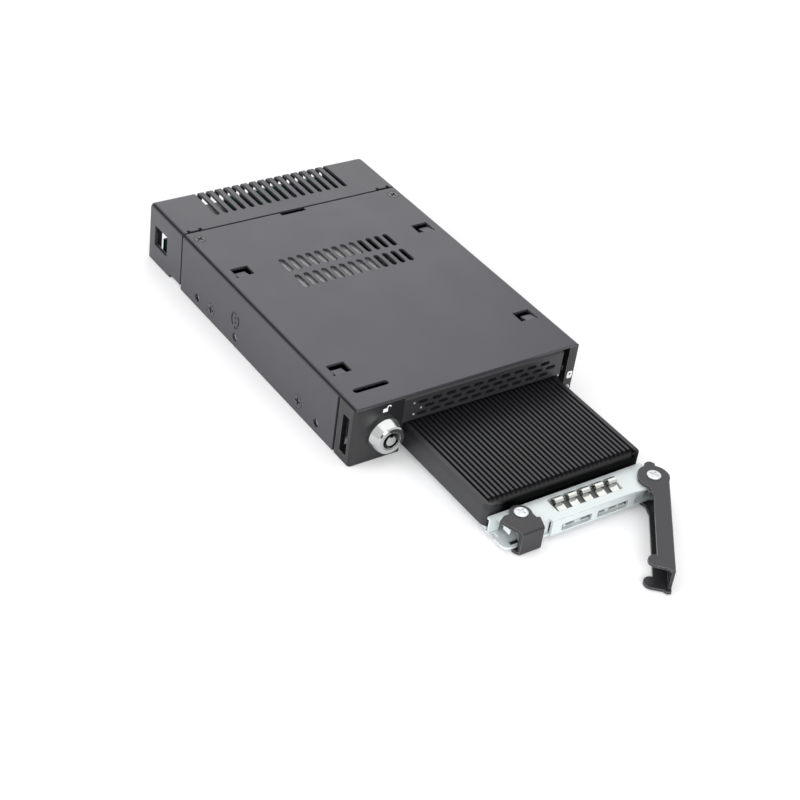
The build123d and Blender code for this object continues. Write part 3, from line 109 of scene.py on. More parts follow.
def add_node(tree: Tree, kind: str, inputs: Optional[dict] = None, **settings) -> bpy.types.Node:
    """Adds one node, sets its properties and fills its sockets.

    Args:
        tree: the tree to add to.
        kind: the node's type name.
        inputs: socket name or index, with a constant or the socket that feeds it.
        **settings: properties of the node.

    Returns:
        The new node.
    """
    made = tree.nodes.new(kind)
    for key, value in settings.items():
        setattr(made, key, value)
    for key, value in (inputs or {}).items():
        if isinstance(value, Socket):
            tree.links.new(value, made.inputs[key])
        else:
            made.inputs[key].default_value = value
    return made


def add_object(name: str, data: bpy.types.ID) -> bpy.types.Object:
    """Puts a mesh, a lamp or a camera into the scene.

    Args:
        name: name of the object.
        data: what it holds.

    Returns:
        The object.
    """
    made = bpy.data.objects.new(name, data)
    bpy.context.scene.collection.objects.link(made)
    return made


def seen_ray(tree: Tree) -> Socket:
    """Tells the rays that see a surface, straight or in a mirror or glass, from those that light others.

    Args:
        tree: the tree to add to.

    Returns:
        A socket that is 1 for camera, glossy and transmission rays.
    """
    path = add_node(tree, "ShaderNodeLightPath").outputs
    ways = {0: path["Is Glossy Ray"], 1: path["Is Transmission Ray"]}
    mirrored = add_node(tree, "ShaderNodeMath", ways, operation="MAXIMUM").outputs[0]
    ways = {0: path["Is Camera Ray"], 1: mirrored}
    return add_node(tree, "ShaderNodeMath", ways, operation="MAXIMUM").outputs[0]


@dataclass(frozen=True)
class Finish:
    """A surface made by one material and process; the base of all the finishes.

    The edge is how many millimetres of an edge look rounded, and the rim is how strongly it takes its colour:
    pale rims are painted highlight lines and dark rims are painted shade along the edges.
    The rim's span is the cosine between the flat and the rounded normal where it begins and where it is full.
    """

    name: str
    colour: str
    roughness: float = 0.5
    edge: float = 0.15
    rim: float = 0.0
    rim_colour: str = "#b9babc"
    rim_span: Point = (0.99, 0.92)

    def build(self) -> bpy.types.Material:
        """Makes the material, or returns the one made before.

        Returns:
            The material.
        """
        old = bpy.data.materials.get(self.name)
        if old is not None:
            return old
        made = bpy.data.materials.new(self.name)
        made.use_nodes = True
        tree = made.node_tree
        tree.nodes.clear()
        coords = add_node(tree, "ShaderNodeTexCoord").outputs["Object"]
        scaled = {0: coords, "Scale": 1 / MM}
        mm = add_node(tree, "ShaderNodeVectorMath", scaled, operation="SCALE").outputs[0]
        normal = add_node(tree, "ShaderNodeBevel", {"Radius": self.edge * MM}, samples=4).outputs["Normal"]
        shader = self.surface(tree, mm, normal)
        add_node(tree, "ShaderNodeOutputMaterial", {"Surface": shader})
        return made

    def surface(self, tree: Tree, mm: Socket, normal: Socket) -> Socket:
        """Adds the shader of a plain, even surface.

        Args:
            tree: the material's tree.
            mm: coordinates in millimetres, not used here.
            normal: the normal with softened edges.

        Returns:
            The shader's output socket.
        """
        values = {
            "Base Color": self.rimmed(tree, linear(self.colour), normal),
            "Roughness": self.roughness,
            "Normal": normal,
        }
        return add_node(tree, "ShaderNodeBsdfPrincipled", values).outputs[0]

    def rimmed(self, tree: Tree, colour: Colour | Socket, normal: Socket) -> Colour | Socket:
        """Paints the edges: pale rims are painted highlight lines, dark rims are painted shade.

        Args:
            tree: the material's tree.
            colour: the surface colour, a constant or a socket.
            normal: the normal with softened edges.

        Returns:
            The colour with its edges, or the given one where the finish has no rim.
        """
        if self.rim == 0.0:
            return colour
        # pale rims paint highlight lines and dark rims paint shade along the edges
        flat = add_node(tree, "ShaderNodeNewGeometry").outputs["Normal"]
        along = add_node(tree, "ShaderNodeVectorMath", {0: flat, 1: normal}, operation="DOT_PRODUCT")
        start, full = self.rim_span
        values = {"Value": along.outputs["Value"], "From Min": start, "From Max": full, "To Max": self.rim}
        amount = add_node(tree, "ShaderNodeMapRange", values).outputs[0]
        inputs = {0: amount, 6: colour, 7: linear(self.rim_colour)}
        return add_node(tree, "ShaderNodeMix", inputs, data_type="RGBA").outputs[2]

    def grain(
        self, tree: Tree, mm: Socket, normal: Socket, size: float, depth: float, detail: float = 2.0
    ) -> Socket:
        """Adds a fine relief of one grain size.

        Args:
            tree: the material's tree.
            mm: coordinates in millimetres.
            normal: the normal to start from.
            size: grain size in millimetres.
            depth: relief in millimetres.
            detail: octaves of the noise.

        Returns:
            The normal with the relief.
        """
        noise = add_node(tree, "ShaderNodeTexNoise", {"Vector": mm, "Scale": 1 / size, "Detail": detail})
        bump = {"Height": noise.outputs[0], "Distance": depth * MM, "Strength": 1.0, "Normal": normal}
        return add_node(tree, "ShaderNodeBump", bump).outputs[0]

    def blend(self, tree: Tree, mm: Socket, size: float, middle: float, spread: Point) -> Socket:
        """Adds a slow change of a value over the surface, in patches.

        Args:
            tree: the material's tree.
            mm: coordinates in millimetres.
            size: size of the patches in millimetres.
            middle: the value.
            spread: how far it changes, down and up.

        Returns:
            A value socket.
        """
        values = {"Vector": mm, "Scale": 1 / size, "Detail": 3.0}
        noise = add_node(tree, "ShaderNodeTexNoise", values).outputs[0]
        low, high = middle + spread[0], middle + spread[1]
        # most of the noise lies in the middle two fifths of its range
        values = {"Value": noise, "From Min": 0.3, "From Max": 0.7, "To Min": low, "To Max": high}
        return add_node(tree, "ShaderNodeMapRange", values).outputs[0]

    def shaded(self, tree: Tree, value: Socket) -> Socket:
        """Multiplies the finish's colour by a value near one.

        Args:
            tree: the material's tree.
            value: the factor.

        Returns:
            A colour socket.
        """
        grey = add_node(tree, "ShaderNodeCombineColor", {0: value, 1: value, 2: value}).outputs[0]
        inputs = {"Factor": 1.0, 6: linear(self.colour), 7: grey}
        return add_node(tree, "ShaderNodeMix", inputs, data_type="RGBA", blend_type="MULTIPLY").outputs[2]


@dataclass(frozen=True)
class PowderCoat(Finish):
    """Satin powder coat on folded steel: a fine peel, a faint unevenness and, on a still sheet, painted shade
    where it is folded.

    The peel and the patches are millimetres. The fold shade is how much darker the painted shade makes a fold
    than the flats. Its span is the largest part of the normal along an axis where a fold begins and where it is
    darkest.
    """

    peel: float = 0.35
    peel_depth: float = 0.0035
    rough_patch: float = 18.0
    tone_patch: float = 30.0
    mirror: float = 0.5
    fold_shade: float = 0.0
    fold_shade_span: Point = (0.97, 0.78)

    def painted_fold_shade(self, tree: Tree) -> Socket:
        """Paints shade where the sheet is folded, where the surface faces no axis squarely.

        Args:
            tree: the material's tree.

        Returns:
            A factor of the colour, 1 on the flats.
        """
        turned = add_node(tree, "ShaderNodeNewGeometry").outputs["Normal"]
        turned = add_node(tree, "ShaderNodeVectorMath", {0: turned}, operation="ABSOLUTE").outputs[0]
        x, y, z = add_node(tree, "ShaderNodeSeparateXYZ", {"Vector": turned}).outputs
        most = add_node(tree, "ShaderNodeMath", {0: x, 1: y}, operation="MAXIMUM").outputs[0]
        most = add_node(tree, "ShaderNodeMath", {0: most, 1: z}, operation="MAXIMUM").outputs[0]
        start, full = self.fold_shade_span
        values = {"Value": most, "From Min": start, "From Max": full, "To Min": 1.0, "To Max": 1 - self.fold_shade}
        return add_node(tree, "ShaderNodeMapRange", values).outputs[0]

    def surface(self, tree: Tree, mm: Socket, normal: Socket) -> Socket:
        """Adds the coat.

        Args:
            tree: the material's tree.
            mm: coordinates in millimetres.
            normal: the normal with softened edges.

        Returns:
            The shader's output socket.
        """
        rough = self.blend(tree, mm, self.rough_patch, self.roughness, (-0.03, 0.04))
        tone = self.blend(tree, mm, self.tone_patch, 1.0, (-0.035, 0.035))
        # painted shade: folded corners and rounded slot ends come out darker than the flats
        if self.fold_shade > 0.0:
            factors = {0: tone, 1: self.painted_fold_shade(tree)}
            tone = add_node(tree, "ShaderNodeMath", factors, operation="MULTIPLY").outputs[0]
        relief = self.grain(tree, mm, normal, self.peel, self.peel_depth)
        values = {
            "Base Color": self.rimmed(tree, self.shaded(tree, tone), normal),
            "Roughness": rough,
            "Normal": relief,
            "Specular IOR Level": self.mirror,
        }
        return add_node(tree, "ShaderNodeBsdfPrincipled", values).outputs[0]


@dataclass(frozen=True)
class MouldedPlastic(Finish):
    """Plastic from a spark eroded mould: an even, fine texture, in millimetres."""

    texture: float = 0.22
    texture_depth: float = 0.004
    rough_patch: float = 6.0

    def surface(self, tree: Tree, mm: Socket, normal: Socket) -> Socket:
        """Adds the plastic.

        Args:
            tree: the material's tree.
            mm: coordinates in millimetres.
            normal: the normal with softened edges.

        Returns:
            The shader's output socket.
        """
        rough = self.blend(tree, mm, self.rough_patch, self.roughness, (-0.02, 0.03))
        relief = self.grain(tree, mm, normal, self.texture, self.texture_depth, detail=1.0)
        values = {
            "Base Color": self.rimmed(tree, linear(self.colour), normal),
            "Roughness": rough,
            "Normal": relief,
        }
        return add_node(tree, "ShaderNodeBsdfPrincipled", values).outputs[0]


@dataclass(frozen=True)
class PlatedMetal(Finish):
    """Plated or bare metal: rolled or turned lines along one axis, and pale patches.

    The lines give the size of their grain in millimetres along each axis. A passivated zinc layer scatters
    light as a pale powder does, so its metallic value is low.
    """

    lines: Place = (0.06, 3.0, 0.06)
    line_depth: float = 0.0006
    patch: float = 0.05
    rough_patch: float = 5.0
    tone_patch: float = 8.5
    metallic: float = 1.0

    def surface(self, tree: Tree, mm: Socket, normal: Socket) -> Socket:
        """Adds the metal.

        Args:
            tree: the material's tree.
            mm: coordinates in millimetres.
            normal: the normal with softened edges.

        Returns:
            The shader's output socket.
        """
        scale = tuple(1 / size for size in self.lines)
        drawn = add_node(tree, "ShaderNodeVectorMath", {0: mm, 1: scale}, operation="MULTIPLY").outputs[0]
        relief = self.grain(tree, drawn, normal, 1.0, self.line_depth)
        rough = self.blend(tree, mm, self.rough_patch, self.roughness, (-0.04, 0.05))
        tone = self.blend(tree, mm, self.tone_patch, 1.0, (-self.patch, self.patch))
        values = {
            "Base Color": self.rimmed(tree, self.shaded(tree, tone), normal),
            "Metallic": self.metallic,
            "Roughness": rough,
            "Normal": relief,
        }
        return add_node(tree, "ShaderNodeBsdfPrincipled", values).outputs[0]


@dataclass(frozen=True)
class PiercedStrip(PlatedMetal):
    """Plated strip, painted dark outside a field behind each window of the fascia: a painted shadow of the
    window edges.

    A field is its middle in x and z and half its width and height, a bit lower and smaller than its window.
    """

    fields: tuple[tuple[float, float, float, float], ...] = ((3.4, 3.4, 6.1, 1.0), (19.85, 3.4, 6.35, 1.0))
    shadow_band: float = 0.35

    def rimmed(self, tree: Tree, colour: Colour | Socket, normal: Socket) -> Colour | Socket:
        """Paints shadow on the strip outside its fields.

        Args:
            tree: the material's tree.
            colour: the surface colour, a constant or a socket.
            normal: the normal with softened edges, not used here.

        Returns:
            The colour with the painted shadow.
        """
        coords = add_node(tree, "ShaderNodeTexCoord").outputs["Object"]
        across, _, up = add_node(tree, "ShaderNodeSeparateXYZ", {"Vector": coords}).outputs
        away = []
        for x, z, width, height in self.fields:
            sides = []
            for part, middle, half in ((across, x, width), (up, z, height)):
                inputs = {0: part, 1: middle * MM}
                off = add_node(tree, "ShaderNodeMath", inputs, operation="SUBTRACT").outputs[0]
                off = add_node(tree, "ShaderNodeMath", {0: off}, operation="ABSOLUTE").outputs[0]
                inputs = {0: off, 1: half * MM}
                sides.append(add_node(tree, "ShaderNodeMath", inputs, operation="SUBTRACT").outputs[0])
            furthest = add_node(tree, "ShaderNodeMath", dict(enumerate(sides)), operation="MAXIMUM")
            away.append(furthest.outputs[0])
        least = add_node(tree, "ShaderNodeMath", dict(enumerate(away)), operation="MINIMUM").outputs[0]
        start = -self.shadow_band * MM
        values = {"Value": least, "From Min": start, "From Max": start / 2, "To Max": self.rim}
        amount = add_node(tree, "ShaderNodeMapRange", values).outputs[0]
        inputs = {0: amount, 6: colour, 7: linear(self.rim_colour)}
        return add_node(tree, "ShaderNodeMix", inputs, data_type="RGBA").outputs[2]


@dataclass(frozen=True)
class DriveCoat(Finish):
    """Black coat of the drive, with painted shade along its front end that makes it darker and less glossy, but
    not at the left corner.

    The front end starts at front and reaches back by depth, and the corner starts at left and is corner wide.
    """

    front: float = -50.9
    depth: float = 4.4
    left: float = -26.5
    corner: float = 6.0
    least: float = 0.05
    mirror: float = 0.5
    texture: float = 0.25
    texture_depth: float = 0.0015

    def surface(self, tree: Tree, mm: Socket, normal: Socket) -> Socket:
        """Adds the coat.

        Args:
            tree: the material's tree.
            mm: coordinates in millimetres.
            normal: the normal with softened edges.

        Returns:
            The shader's output socket.
        """
        x, y, _ = add_node(tree, "ShaderNodeSeparateXYZ", {"Vector": mm}).outputs
        # painted shade: darker colour and a lower specular level along the front end, but not at the left corner
        start = FACE_Y + self.front
        values = {"Value": y, "From Min": start, "From Max": start + self.depth, "To Min": self.least}
        dark = add_node(tree, "ShaderNodeMapRange", values).outputs[0]
        values = {"Value": x, "From Min": self.left, "From Max": self.left + self.corner}
        values |= {"To Min": 1.0, "To Max": dark}
        level = add_node(tree, "ShaderNodeMapRange", values, clamp=False).outputs[0]
        level = add_node(tree, "ShaderNodeMath", {0: level, 1: dark}, operation="MAXIMUM").outputs[0]
        level = add_node(tree, "ShaderNodeMath", {0: level, 1: 1.0}, operation="MINIMUM").outputs[0]
        mirror = add_node(tree, "ShaderNodeMath", {0: level, 1: self.mirror}, operation="MULTIPLY").outputs[0]
        relief = self.grain(tree, mm, normal, self.texture, self.texture_depth)
        values = {
            "Base Color": self.shaded(tree, level),
            "Roughness": self.roughness,
            "Normal": relief,
            "Specular IOR Level": mirror,
        }
        return add_node(tree, "ShaderNodeBsdfPrincipled", values).outputs[0]


@dataclass(frozen=True)
class SolderMask(Finish):
    """Green solder mask with raised copper tracks under it: a thin gloss over faint lines.

    The track gives the scale of the pattern and the copper its relief, in millimetres. The three tones are
    factors of the colour, over tracks, over wide copper and between them.
    """

    track: float = 1.1
    copper: float = 0.02
    tones: Place = (0.9, 1.15, 0.55)
    gloss: float = 0.4

    def surface(self, tree: Tree, mm: Socket, normal: Socket) -> Socket:
        """Adds the board.

        Args:
            tree: the material's tree.
            mm: coordinates in millimetres.
            normal: the normal with softened edges.

        Returns:
            The shader's output socket.
        """
        thin, wide, between = [(tone, tone, tone, 1) for tone in self.tones]
        values = {"Vector": mm, "Scale": 1 / self.track, "Color1": thin, "Color2": wide, "Mortar": between}
        values |= {"Mortar Size": 0.08, "Brick Width": 4.5, "Row Height": 0.5}
        tracks = add_node(tree, "ShaderNodeTexBrick", values, offset_frequency=3).outputs
        inputs = {"Factor": 1.0, 6: linear(self.colour), 7: tracks[0]}
        colour = add_node(tree, "ShaderNodeMix", inputs, data_type="RGBA", blend_type="MULTIPLY").outputs[2]
        bump = {"Height": tracks[1], "Distance": self.copper * MM, "Strength": -1.0, "Normal": normal}
        relief = add_node(tree, "ShaderNodeBump", bump).outputs[0]
        values = {
            "Base Color": colour,
            "Roughness": self.roughness,
            "Normal": relief,
            "Coat Weight": self.gloss,
        }
        return add_node(tree, "ShaderNodeBsdfPrincipled", values).outputs[0]


@dataclass(frozen=True)
class StudioPaper(Finish):
    """Matt white floor paper; its glow, only seen and mirrored, makes it one white with the backdrop."""

    glow: float = 0.12

    def surface(self, tree: Tree, mm: Socket, normal: Socket) -> Socket:
        """Adds the paper.

        Args:
            tree: the material's tree.
            mm: coordinates in millimetres, not used here.
            normal: the normal with softened edges, not used here.

        Returns:
            The shader's output socket.
        """
        seen = {0: seen_ray(tree), 1: self.glow}
        values = {
            "Base Color": linear(self.colour),
            "Roughness": self.roughness,
            "Emission Color": linear("#ffffff"),
            "Emission Strength": add_node(tree, "ShaderNodeMath", seen, operation="MULTIPLY").outputs[0],
        }
        return add_node(tree, "ShaderNodeBsdfPrincipled", values).outputs[0]


# powder coated steel: an even satin grey, with painted shade where the covers are folded and along their edges,
# and painted highlight lines along the edges of the levers
COVER = PowderCoat(
    "powder_coated_steel_cover", "#3f3e44", 0.32, edge=0.4, rim=0.9, rim_colour="#141416",
    mirror=0.35, fold_shade=0.75,
)
# painted highlight lines along the edges of the lever and the latch, with a finer peel
EDGE_HIGHLIGHTS_AND_PEEL = {"edge": 0.2, "rim": 0.45, "rim_colour": "#c6c8ca", "peel": 0.25}
LEVER = PowderCoat("powder_coated_lever_steel", "#29292c", 0.34, **EDGE_HIGHLIGHTS_AND_PEEL)
# the latch's coat is painted darker than the lever's: painted shade
LATCH = PowderCoat("powder_coated_latch_steel_painted_shade", "#1f1f22", 0.34, **EDGE_HIGHLIGHTS_AND_PEEL)
# moulded plastics: duller and blacker than the coat, with a texture too fine to see one by one
# the bezel's pale rim is painted highlight lines along its edges
BEZEL = MouldedPlastic("moulded_abs_bezel", "#18181a", 0.38, edge=0.25, rim=0.35, rim_colour="#c9cacc")
PANEL = MouldedPlastic("moulded_abs_vent_panel", "#28282a", 0.42)
LIGHT_PIPE = MouldedPlastic("moulded_light_pipe", "#4a4b4d", 0.3)
LIGHT_BLOCK = MouldedPlastic("moulded_light_block", "#6c6f6e", 0.3)
CHIP = MouldedPlastic("moulded_epoxy_chip", "#1b1b1d", 0.5, edge=0.05)
PORT = MouldedPlastic("moulded_black_port", "#161617", 0.45, edge=0.1)
GUIDE = MouldedPlastic("moulded_guide_rail", "#18181a", 0.5)
CERAMIC = MouldedPlastic("sintered_ceramic_capacitor", "#8d7a63", 0.5, edge=0.05)
PRINT = Finish("pad_printed_white", "#e6e7e8", 0.5, edge=0.02)
# bright metals: the lock and the spring mirror the studio, with faint turned or rolled lines
CHROME = PlatedMetal("nickel_plated_lock", "#bfc0c0", 0.12, lines=(0.08, 1.5, 0.08), line_depth=0.0012)
SPRING = PlatedMetal(
    "bright_spring_steel", "#c2c4c0", 0.14, edge=0.08, lines=(0.4, 0.4, 0.05), line_depth=0.001
)
BRASS = PlatedMetal("turned_brass", "#c9a050", 0.25)
GOLD = PlatedMetal("gold_plated_contact", "#d9b25a", 0.2, edge=0.02)
# zinc plate: a pale, faintly blue sheet with a soft sheen and painted shade along its edges
ZINC = PlatedMetal(
    "zinc_plated_sheet", "#d4dbdb", 0.38, edge=0.2, rim=0.5, rim_colour="#484d4f", lines=(3.0, 0.07, 3.0),
    patch=0.03, metallic=0.3,
)
# the strip is painted dark outside a field behind each window: painted shadow of the window edges
INSERT = PiercedStrip(
    "zinc_plated_strip", "#cfd5d4", 0.35, edge=0.1, rim=0.9, rim_colour="#17191a", metallic=0.3
)
STEEL = PlatedMetal(
    "zinc_plated_turned_steel", "#d9dcde", 0.33, edge=0.1, lines=(0.3, 0.3, 0.05), metallic=0.5
)
# the shield is painted near white, paler than the zinc sheet: painted light for the light falling through the
# vent slots
SHIELD = PlatedMetal("zinc_plated_shield", "#f6f6f2", 0.35, metallic=0.1)
# the screws' dark rim is painted shade round the heads and in their recesses
SCREW = Finish("black_zinc_screw", "#3d3d41", 0.22, edge=0.3, rim=0.85, rim_colour="#0c0c0d")
# the drive: anodised and painted aluminium, near black with a low sheen on the fins and painted shade along the
# front end
LID = DriveCoat("black_anodised_aluminium", "#1c1c1f", 0.36, edge=0.1)
CASE = DriveCoat("black_painted_drive_case", "#29292c", 0.42)
BOARD = SolderMask("green_solder_mask", "#0e5238", 0.35, edge=0.05)


def paint(node: str, finish: Finish) -> None:
    """Puts a finish in the slot of a node of the frame.

    Args:
        node: the node's name.
        finish: the finish.
    """
    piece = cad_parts[node]
    piece.data.materials.clear()
    piece.data.materials.append(finish.build())
    LOG.info("dressed %s in %s", node, finish.name)


def mesh_data(name: str, mesh: Draft, finish: Finish) -> bpy.types.Mesh:
    """Turns a mesh under construction into mesh data with its finish.

    Args:
        name: name of the data.
        mesh: vertices in metres in the frame; freed here.
        finish: its finish.

    Returns:
        The mesh data.
    """
    data = bpy.data.meshes.new(name)
    mesh.to_mesh(data)
    mesh.free()
    data.materials.append(finish.build())
    return data


def piece_from(
    name: str,
    mesh: Draft,
    finish: Finish,
    body: Body,
    smooth: Optional[float] = None,
) -> bpy.types.Object:
    """Turns a mesh under construction into a finished piece that rides on a body.

    Args:
        name: name of the piece.
        mesh: vertices in metres in the frame; freed here.
        finish: its finish.
        body: the body that it rides on.
        smooth: angle in degrees up to which edges are smooth; None for flat.

    Returns:
        The object.
    """
    bmesh.ops.recalc_face_normals(mesh, faces=mesh.faces)
    data = mesh_data(name, mesh, finish)
    made = add_object(name, data)
    if smooth is not None:
        for face in data.polygons:
            face.use_smooth = True
        data.set_sharp_from_angle(angle=math.radians(smooth))
    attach(made, body.value)
    LOG.info("added %s", name)
    return made


def add_prism(mesh: Draft, outline: Sequence[Point], lift: Lift, low: float, high: float) -> None:
    """Adds a closed prism over an outline.

    Args:
        mesh: the mesh to add to.
        outline: corners in two coordinates of the sketch.
        lift: turns sketch coordinates and a height into a point.
        low: lower height.
        high: upper height.
    """
    bottom = [mesh.verts.new(lift(u, v, low)) for u, v in outline]
    top = [mesh.verts.new(lift(u, v, high)) for u, v in outline]
    count = len(outline)
    mesh.faces.new(bottom[::-1])
    mesh.faces.new(top)
    for i in range(count):
        j = (i + 1) % count
        mesh.faces.new((bottom[i], bottom[j], top[j], top[i]))


def add_ring(
    mesh: Draft,
    outer: Sequence[Point],
    inner: Sequence[Point],
    lift: Lift,
    low: float,
    high: float,
) -> None:
    """Adds a flat ring between two outlines that have the same number of corners.

    Args:
        mesh: the mesh to add to.
        outer: corners of the outer outline.
        inner: corners of the hole.
        lift: turns sketch coordinates and a height into a point.
        low: lower height.
        high: upper height.
    """
    loops = ((outer, low), (outer, high), (inner, high), (inner, low))
    lines = [[mesh.verts.new(lift(u, v, height)) for u, v in loop] for loop, height in loops]
    count = len(outer)
    for first, second in zip(lines, lines[1:] + lines[:1]):
        for i in range(count):
            j = (i + 1) % count
            mesh.faces.new((first[i], first[j], second[j], second[i]))


def add_tube(mesh: Draft, path: Sequence[Vector], radius: float, sides: int = 10) -> None:
    """Adds a round wire with closed ends along a path.

    Args:
        mesh: the mesh to add to.
        path: points in metres.
        radius: wire radius in metres.
        sides: corners of its section.
    """
    rings = []
    side = None
    section = circle((0.0, 0.0), radius, sides)
    for i, point in enumerate(path):
        ahead = (path[min(i + 1, len(path) - 1)] - path[max(i - 1, 0)]).normalized()
        if side is None:
            side = ahead.orthogonal().normalized()
        side = (side - ahead * side.dot(ahead)).normalized()
        other = ahead.cross(side)
        rings.append([mesh.verts.new(point + side * u + other * v) for u, v in section])
    for first, second in zip(rings, rings[1:]):
        for k in range(sides):
            m = (k + 1) % sides
            mesh.faces.new((first[k], first[m], second[m], second[k]))
    mesh.faces.new(rings[0][::-1])
    mesh.faces.new(rings[-1])


def on_front(depth: float = 0.0) -> Lift:
    """Makes the lift of a sketch on the front face of the case.

    Args:
        depth: millimetres behind the face.

    Returns:
        A function of x, z and the height in front of the face.
    """
    return lambda x, z, height: place(x, depth - height, z)


def arc(centre: Point, radius: float, start: float, end: float, steps: int) -> list[Point]:
    """Lists the points of an arc.

    Args:
        centre: its centre.
        radius: its radius.
        start: first angle in degrees.
        end: last angle in degrees.
        steps: number of parts.

    Returns:
        The points in order.
    """
    turns = [math.radians(start + (end - start) * i / steps) for i in range(steps + 1)]
    return [(centre[0] + radius * math.cos(t), centre[1] + radius * math.sin(t)) for t in turns]


def circle(centre: Point, radius: float, sides: int) -> list[Point]:
    """Lists the corners of a round outline.

    Args:
        centre: its centre.
        radius: its radius.
        sides: number of corners.

    Returns:
        The corners in order, the first not repeated.
    """
    return arc(centre, radius, 0, 360, sides)[:-1]


def block_field_group() -> bpy.types.NodeTree:
    """Makes the node group that lays equal blocks in a field of columns and rows.

    Returns:
        The group, made once. Its inputs are named below, the sizes in metres.
    """
    old = bpy.data.node_groups.get("block_field")
    if old is not None:
        return old
    tree = bpy.data.node_groups.new("block_field", "GeometryNodeTree")
    kinds = {
        "Columns": "Int",
        "Rows": "Int",
        "Width": "Float",
        "Depth": "Float",
        "Size": "Vector",
        "Middle": "Vector",
        "Kept": "Float",
        "Change": "Vector",
        "Seed": "Int",
        "Material": "Material",
    }
    for name, kind in kinds.items():
        tree.interface.new_socket(name=name, in_out="INPUT", socket_type="NodeSocket" + kind)
    tree.interface.new_socket(name="Geometry", in_out="OUTPUT", socket_type="NodeSocketGeometry")
    given = add_node(tree, "NodeGroupInput").outputs
    whole = (1.0, 1.0, 1.0)
    values = {"Size X": given["Width"], "Size Y": given["Depth"]}
    values |= {"Vertices X": given["Columns"], "Vertices Y": given["Rows"]}
    grid = add_node(tree, "GeometryNodeMeshGrid", values).outputs["Mesh"]
    values = {"Geometry": grid, "Translation": given["Middle"]}
    moved = add_node(tree, "GeometryNodeTransform", values).outputs[0]
    block = add_node(tree, "GeometryNodeMeshCube", {"Size": given["Size"]}).outputs["Mesh"]
    values = {"Probability": given["Kept"], "Seed": given["Seed"]}
    kept = add_node(tree, "FunctionNodeRandomValue", values, data_type="BOOLEAN").outputs[3]
    values = {0: whole, 1: given["Change"]}
    least = add_node(tree, "ShaderNodeVectorMath", values, operation="SUBTRACT").outputs[0]
    values = {0: least, 1: whole, "Seed": given["Seed"]}
    scale = add_node(tree, "FunctionNodeRandomValue", values, data_type="FLOAT_VECTOR").outputs[0]
    values = {"Points": moved, "Selection": kept, "Instance": block, "Scale": scale}
    laid = add_node(tree, "GeometryNodeInstanceOnPoints", values).outputs[0]
    real = add_node(tree, "GeometryNodeRealizeInstances", {"Geometry": laid}).outputs[0]
    values = {"Geometry": real, "Material": given["Material"]}
    painted = add_node(tree, "GeometryNodeSetMaterial", values).outputs[0]
    add_node(tree, "NodeGroupOutput", {"Geometry": painted})
    return tree


@dataclass
class BlockField:
    """A field of equal small blocks, such as contacts or parts on a board.

    The middle is that of the field, halfway up the blocks. Kept is the share of the places that get a block,
    and change is how much smaller than its size a block can be.
    """

    name: str
    finish: Finish
    slot: Slot
    middle: Place
    size: Place
    columns: int = 1
    rows: int = 1
    pitch: Point = (1.0, 1.0)
    kept: float = 1.0
    change: Place = (0.0, 0.0, 0.0)
    seed: int = 3
    body: Body = Body.CAGE

    def build(self) -> bpy.types.Object:
        """Runs the node group once and keeps its mesh as a piece.

        Returns:
            The piece.
        """
        group = block_field_group()
        holder = add_object(self.name + "_holder", bpy.data.meshes.new(self.name + "_holder"))
        modifier = holder.modifiers.new("field", "NODES")
        modifier.node_group = group
        values = {
            "Columns": self.columns,
            "Rows": self.rows,
            "Width": max(self.columns - 1, 1) * self.pitch[0] * MM,
            "Depth": max(self.rows - 1, 1) * self.pitch[1] * MM,
            "Size": tuple(side * MM for side in self.size),
            "Middle": tuple(place(*self.middle)),
            "Kept": self.kept,
            "Change": self.change,
            "Seed": self.seed,
            "Material": self.finish.build(),
        }
        for item in group.interface.items_tree:
            if item.item_type == "SOCKET" and item.in_out == "INPUT":
                modifier[item.identifier] = values[item.name]
        graph = bpy.context.evaluated_depsgraph_get()
        data = bpy.data.meshes.new_from_object(holder.evaluated_get(graph))
        bpy.data.objects.remove(holder)
        data.name = self.name
        data.materials.clear()
        data.materials.append(self.finish.build())
        for face in data.polygons:
            face.material_index = 0
        made = add_object(self.name, data)
        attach(made, self.body.value)
        LOG.info("added %s", self.name)
        return made


@dataclass
class CaseShell:
    """Covers, base and screws of the case, with the bright collar in the middle side hole."""

    cover: Finish = COVER
    base: Finish = ZINC
    screw: Finish = SCREW
    collar: Place = (-50.0, 82.7, 4.2)
    collar_radius: float = 1.45
    collar_bore: float = 0.85
    collar_thickness: float = 0.25
    sides: int = 24

    def build(self) -> None:
        """Paints the sheets and the screws and sets the collar."""
        for node in ("cage_cover", "rear_cover"):
            paint(node, self.cover)
        paint("cage_base", self.base)
        paint("bay_shield", SHIELD)
        for node in ("cover_screws", "side_screws"):
            paint(node, self.screw)
        for node in ("guide_left", "guide_right"):
            paint(node, GUIDE)
        self.side_collar()

    def side_collar(self) -> None:
        """Sets the collar against the inside of the left wall."""
        x, y, z = self.collar
        outer = circle((y, z), self.collar_radius, self.sides)
        bore = circle((y, z), self.collar_bore, self.sides)
        mesh = bmesh.new()
        add_ring(mesh, outer, bore, lambda u, v, height: place(x + height, u, v), 0.0, self.collar_thickness)
        piece_from("side_collar", mesh, STEEL, Body.CAGE, smooth=35.0)


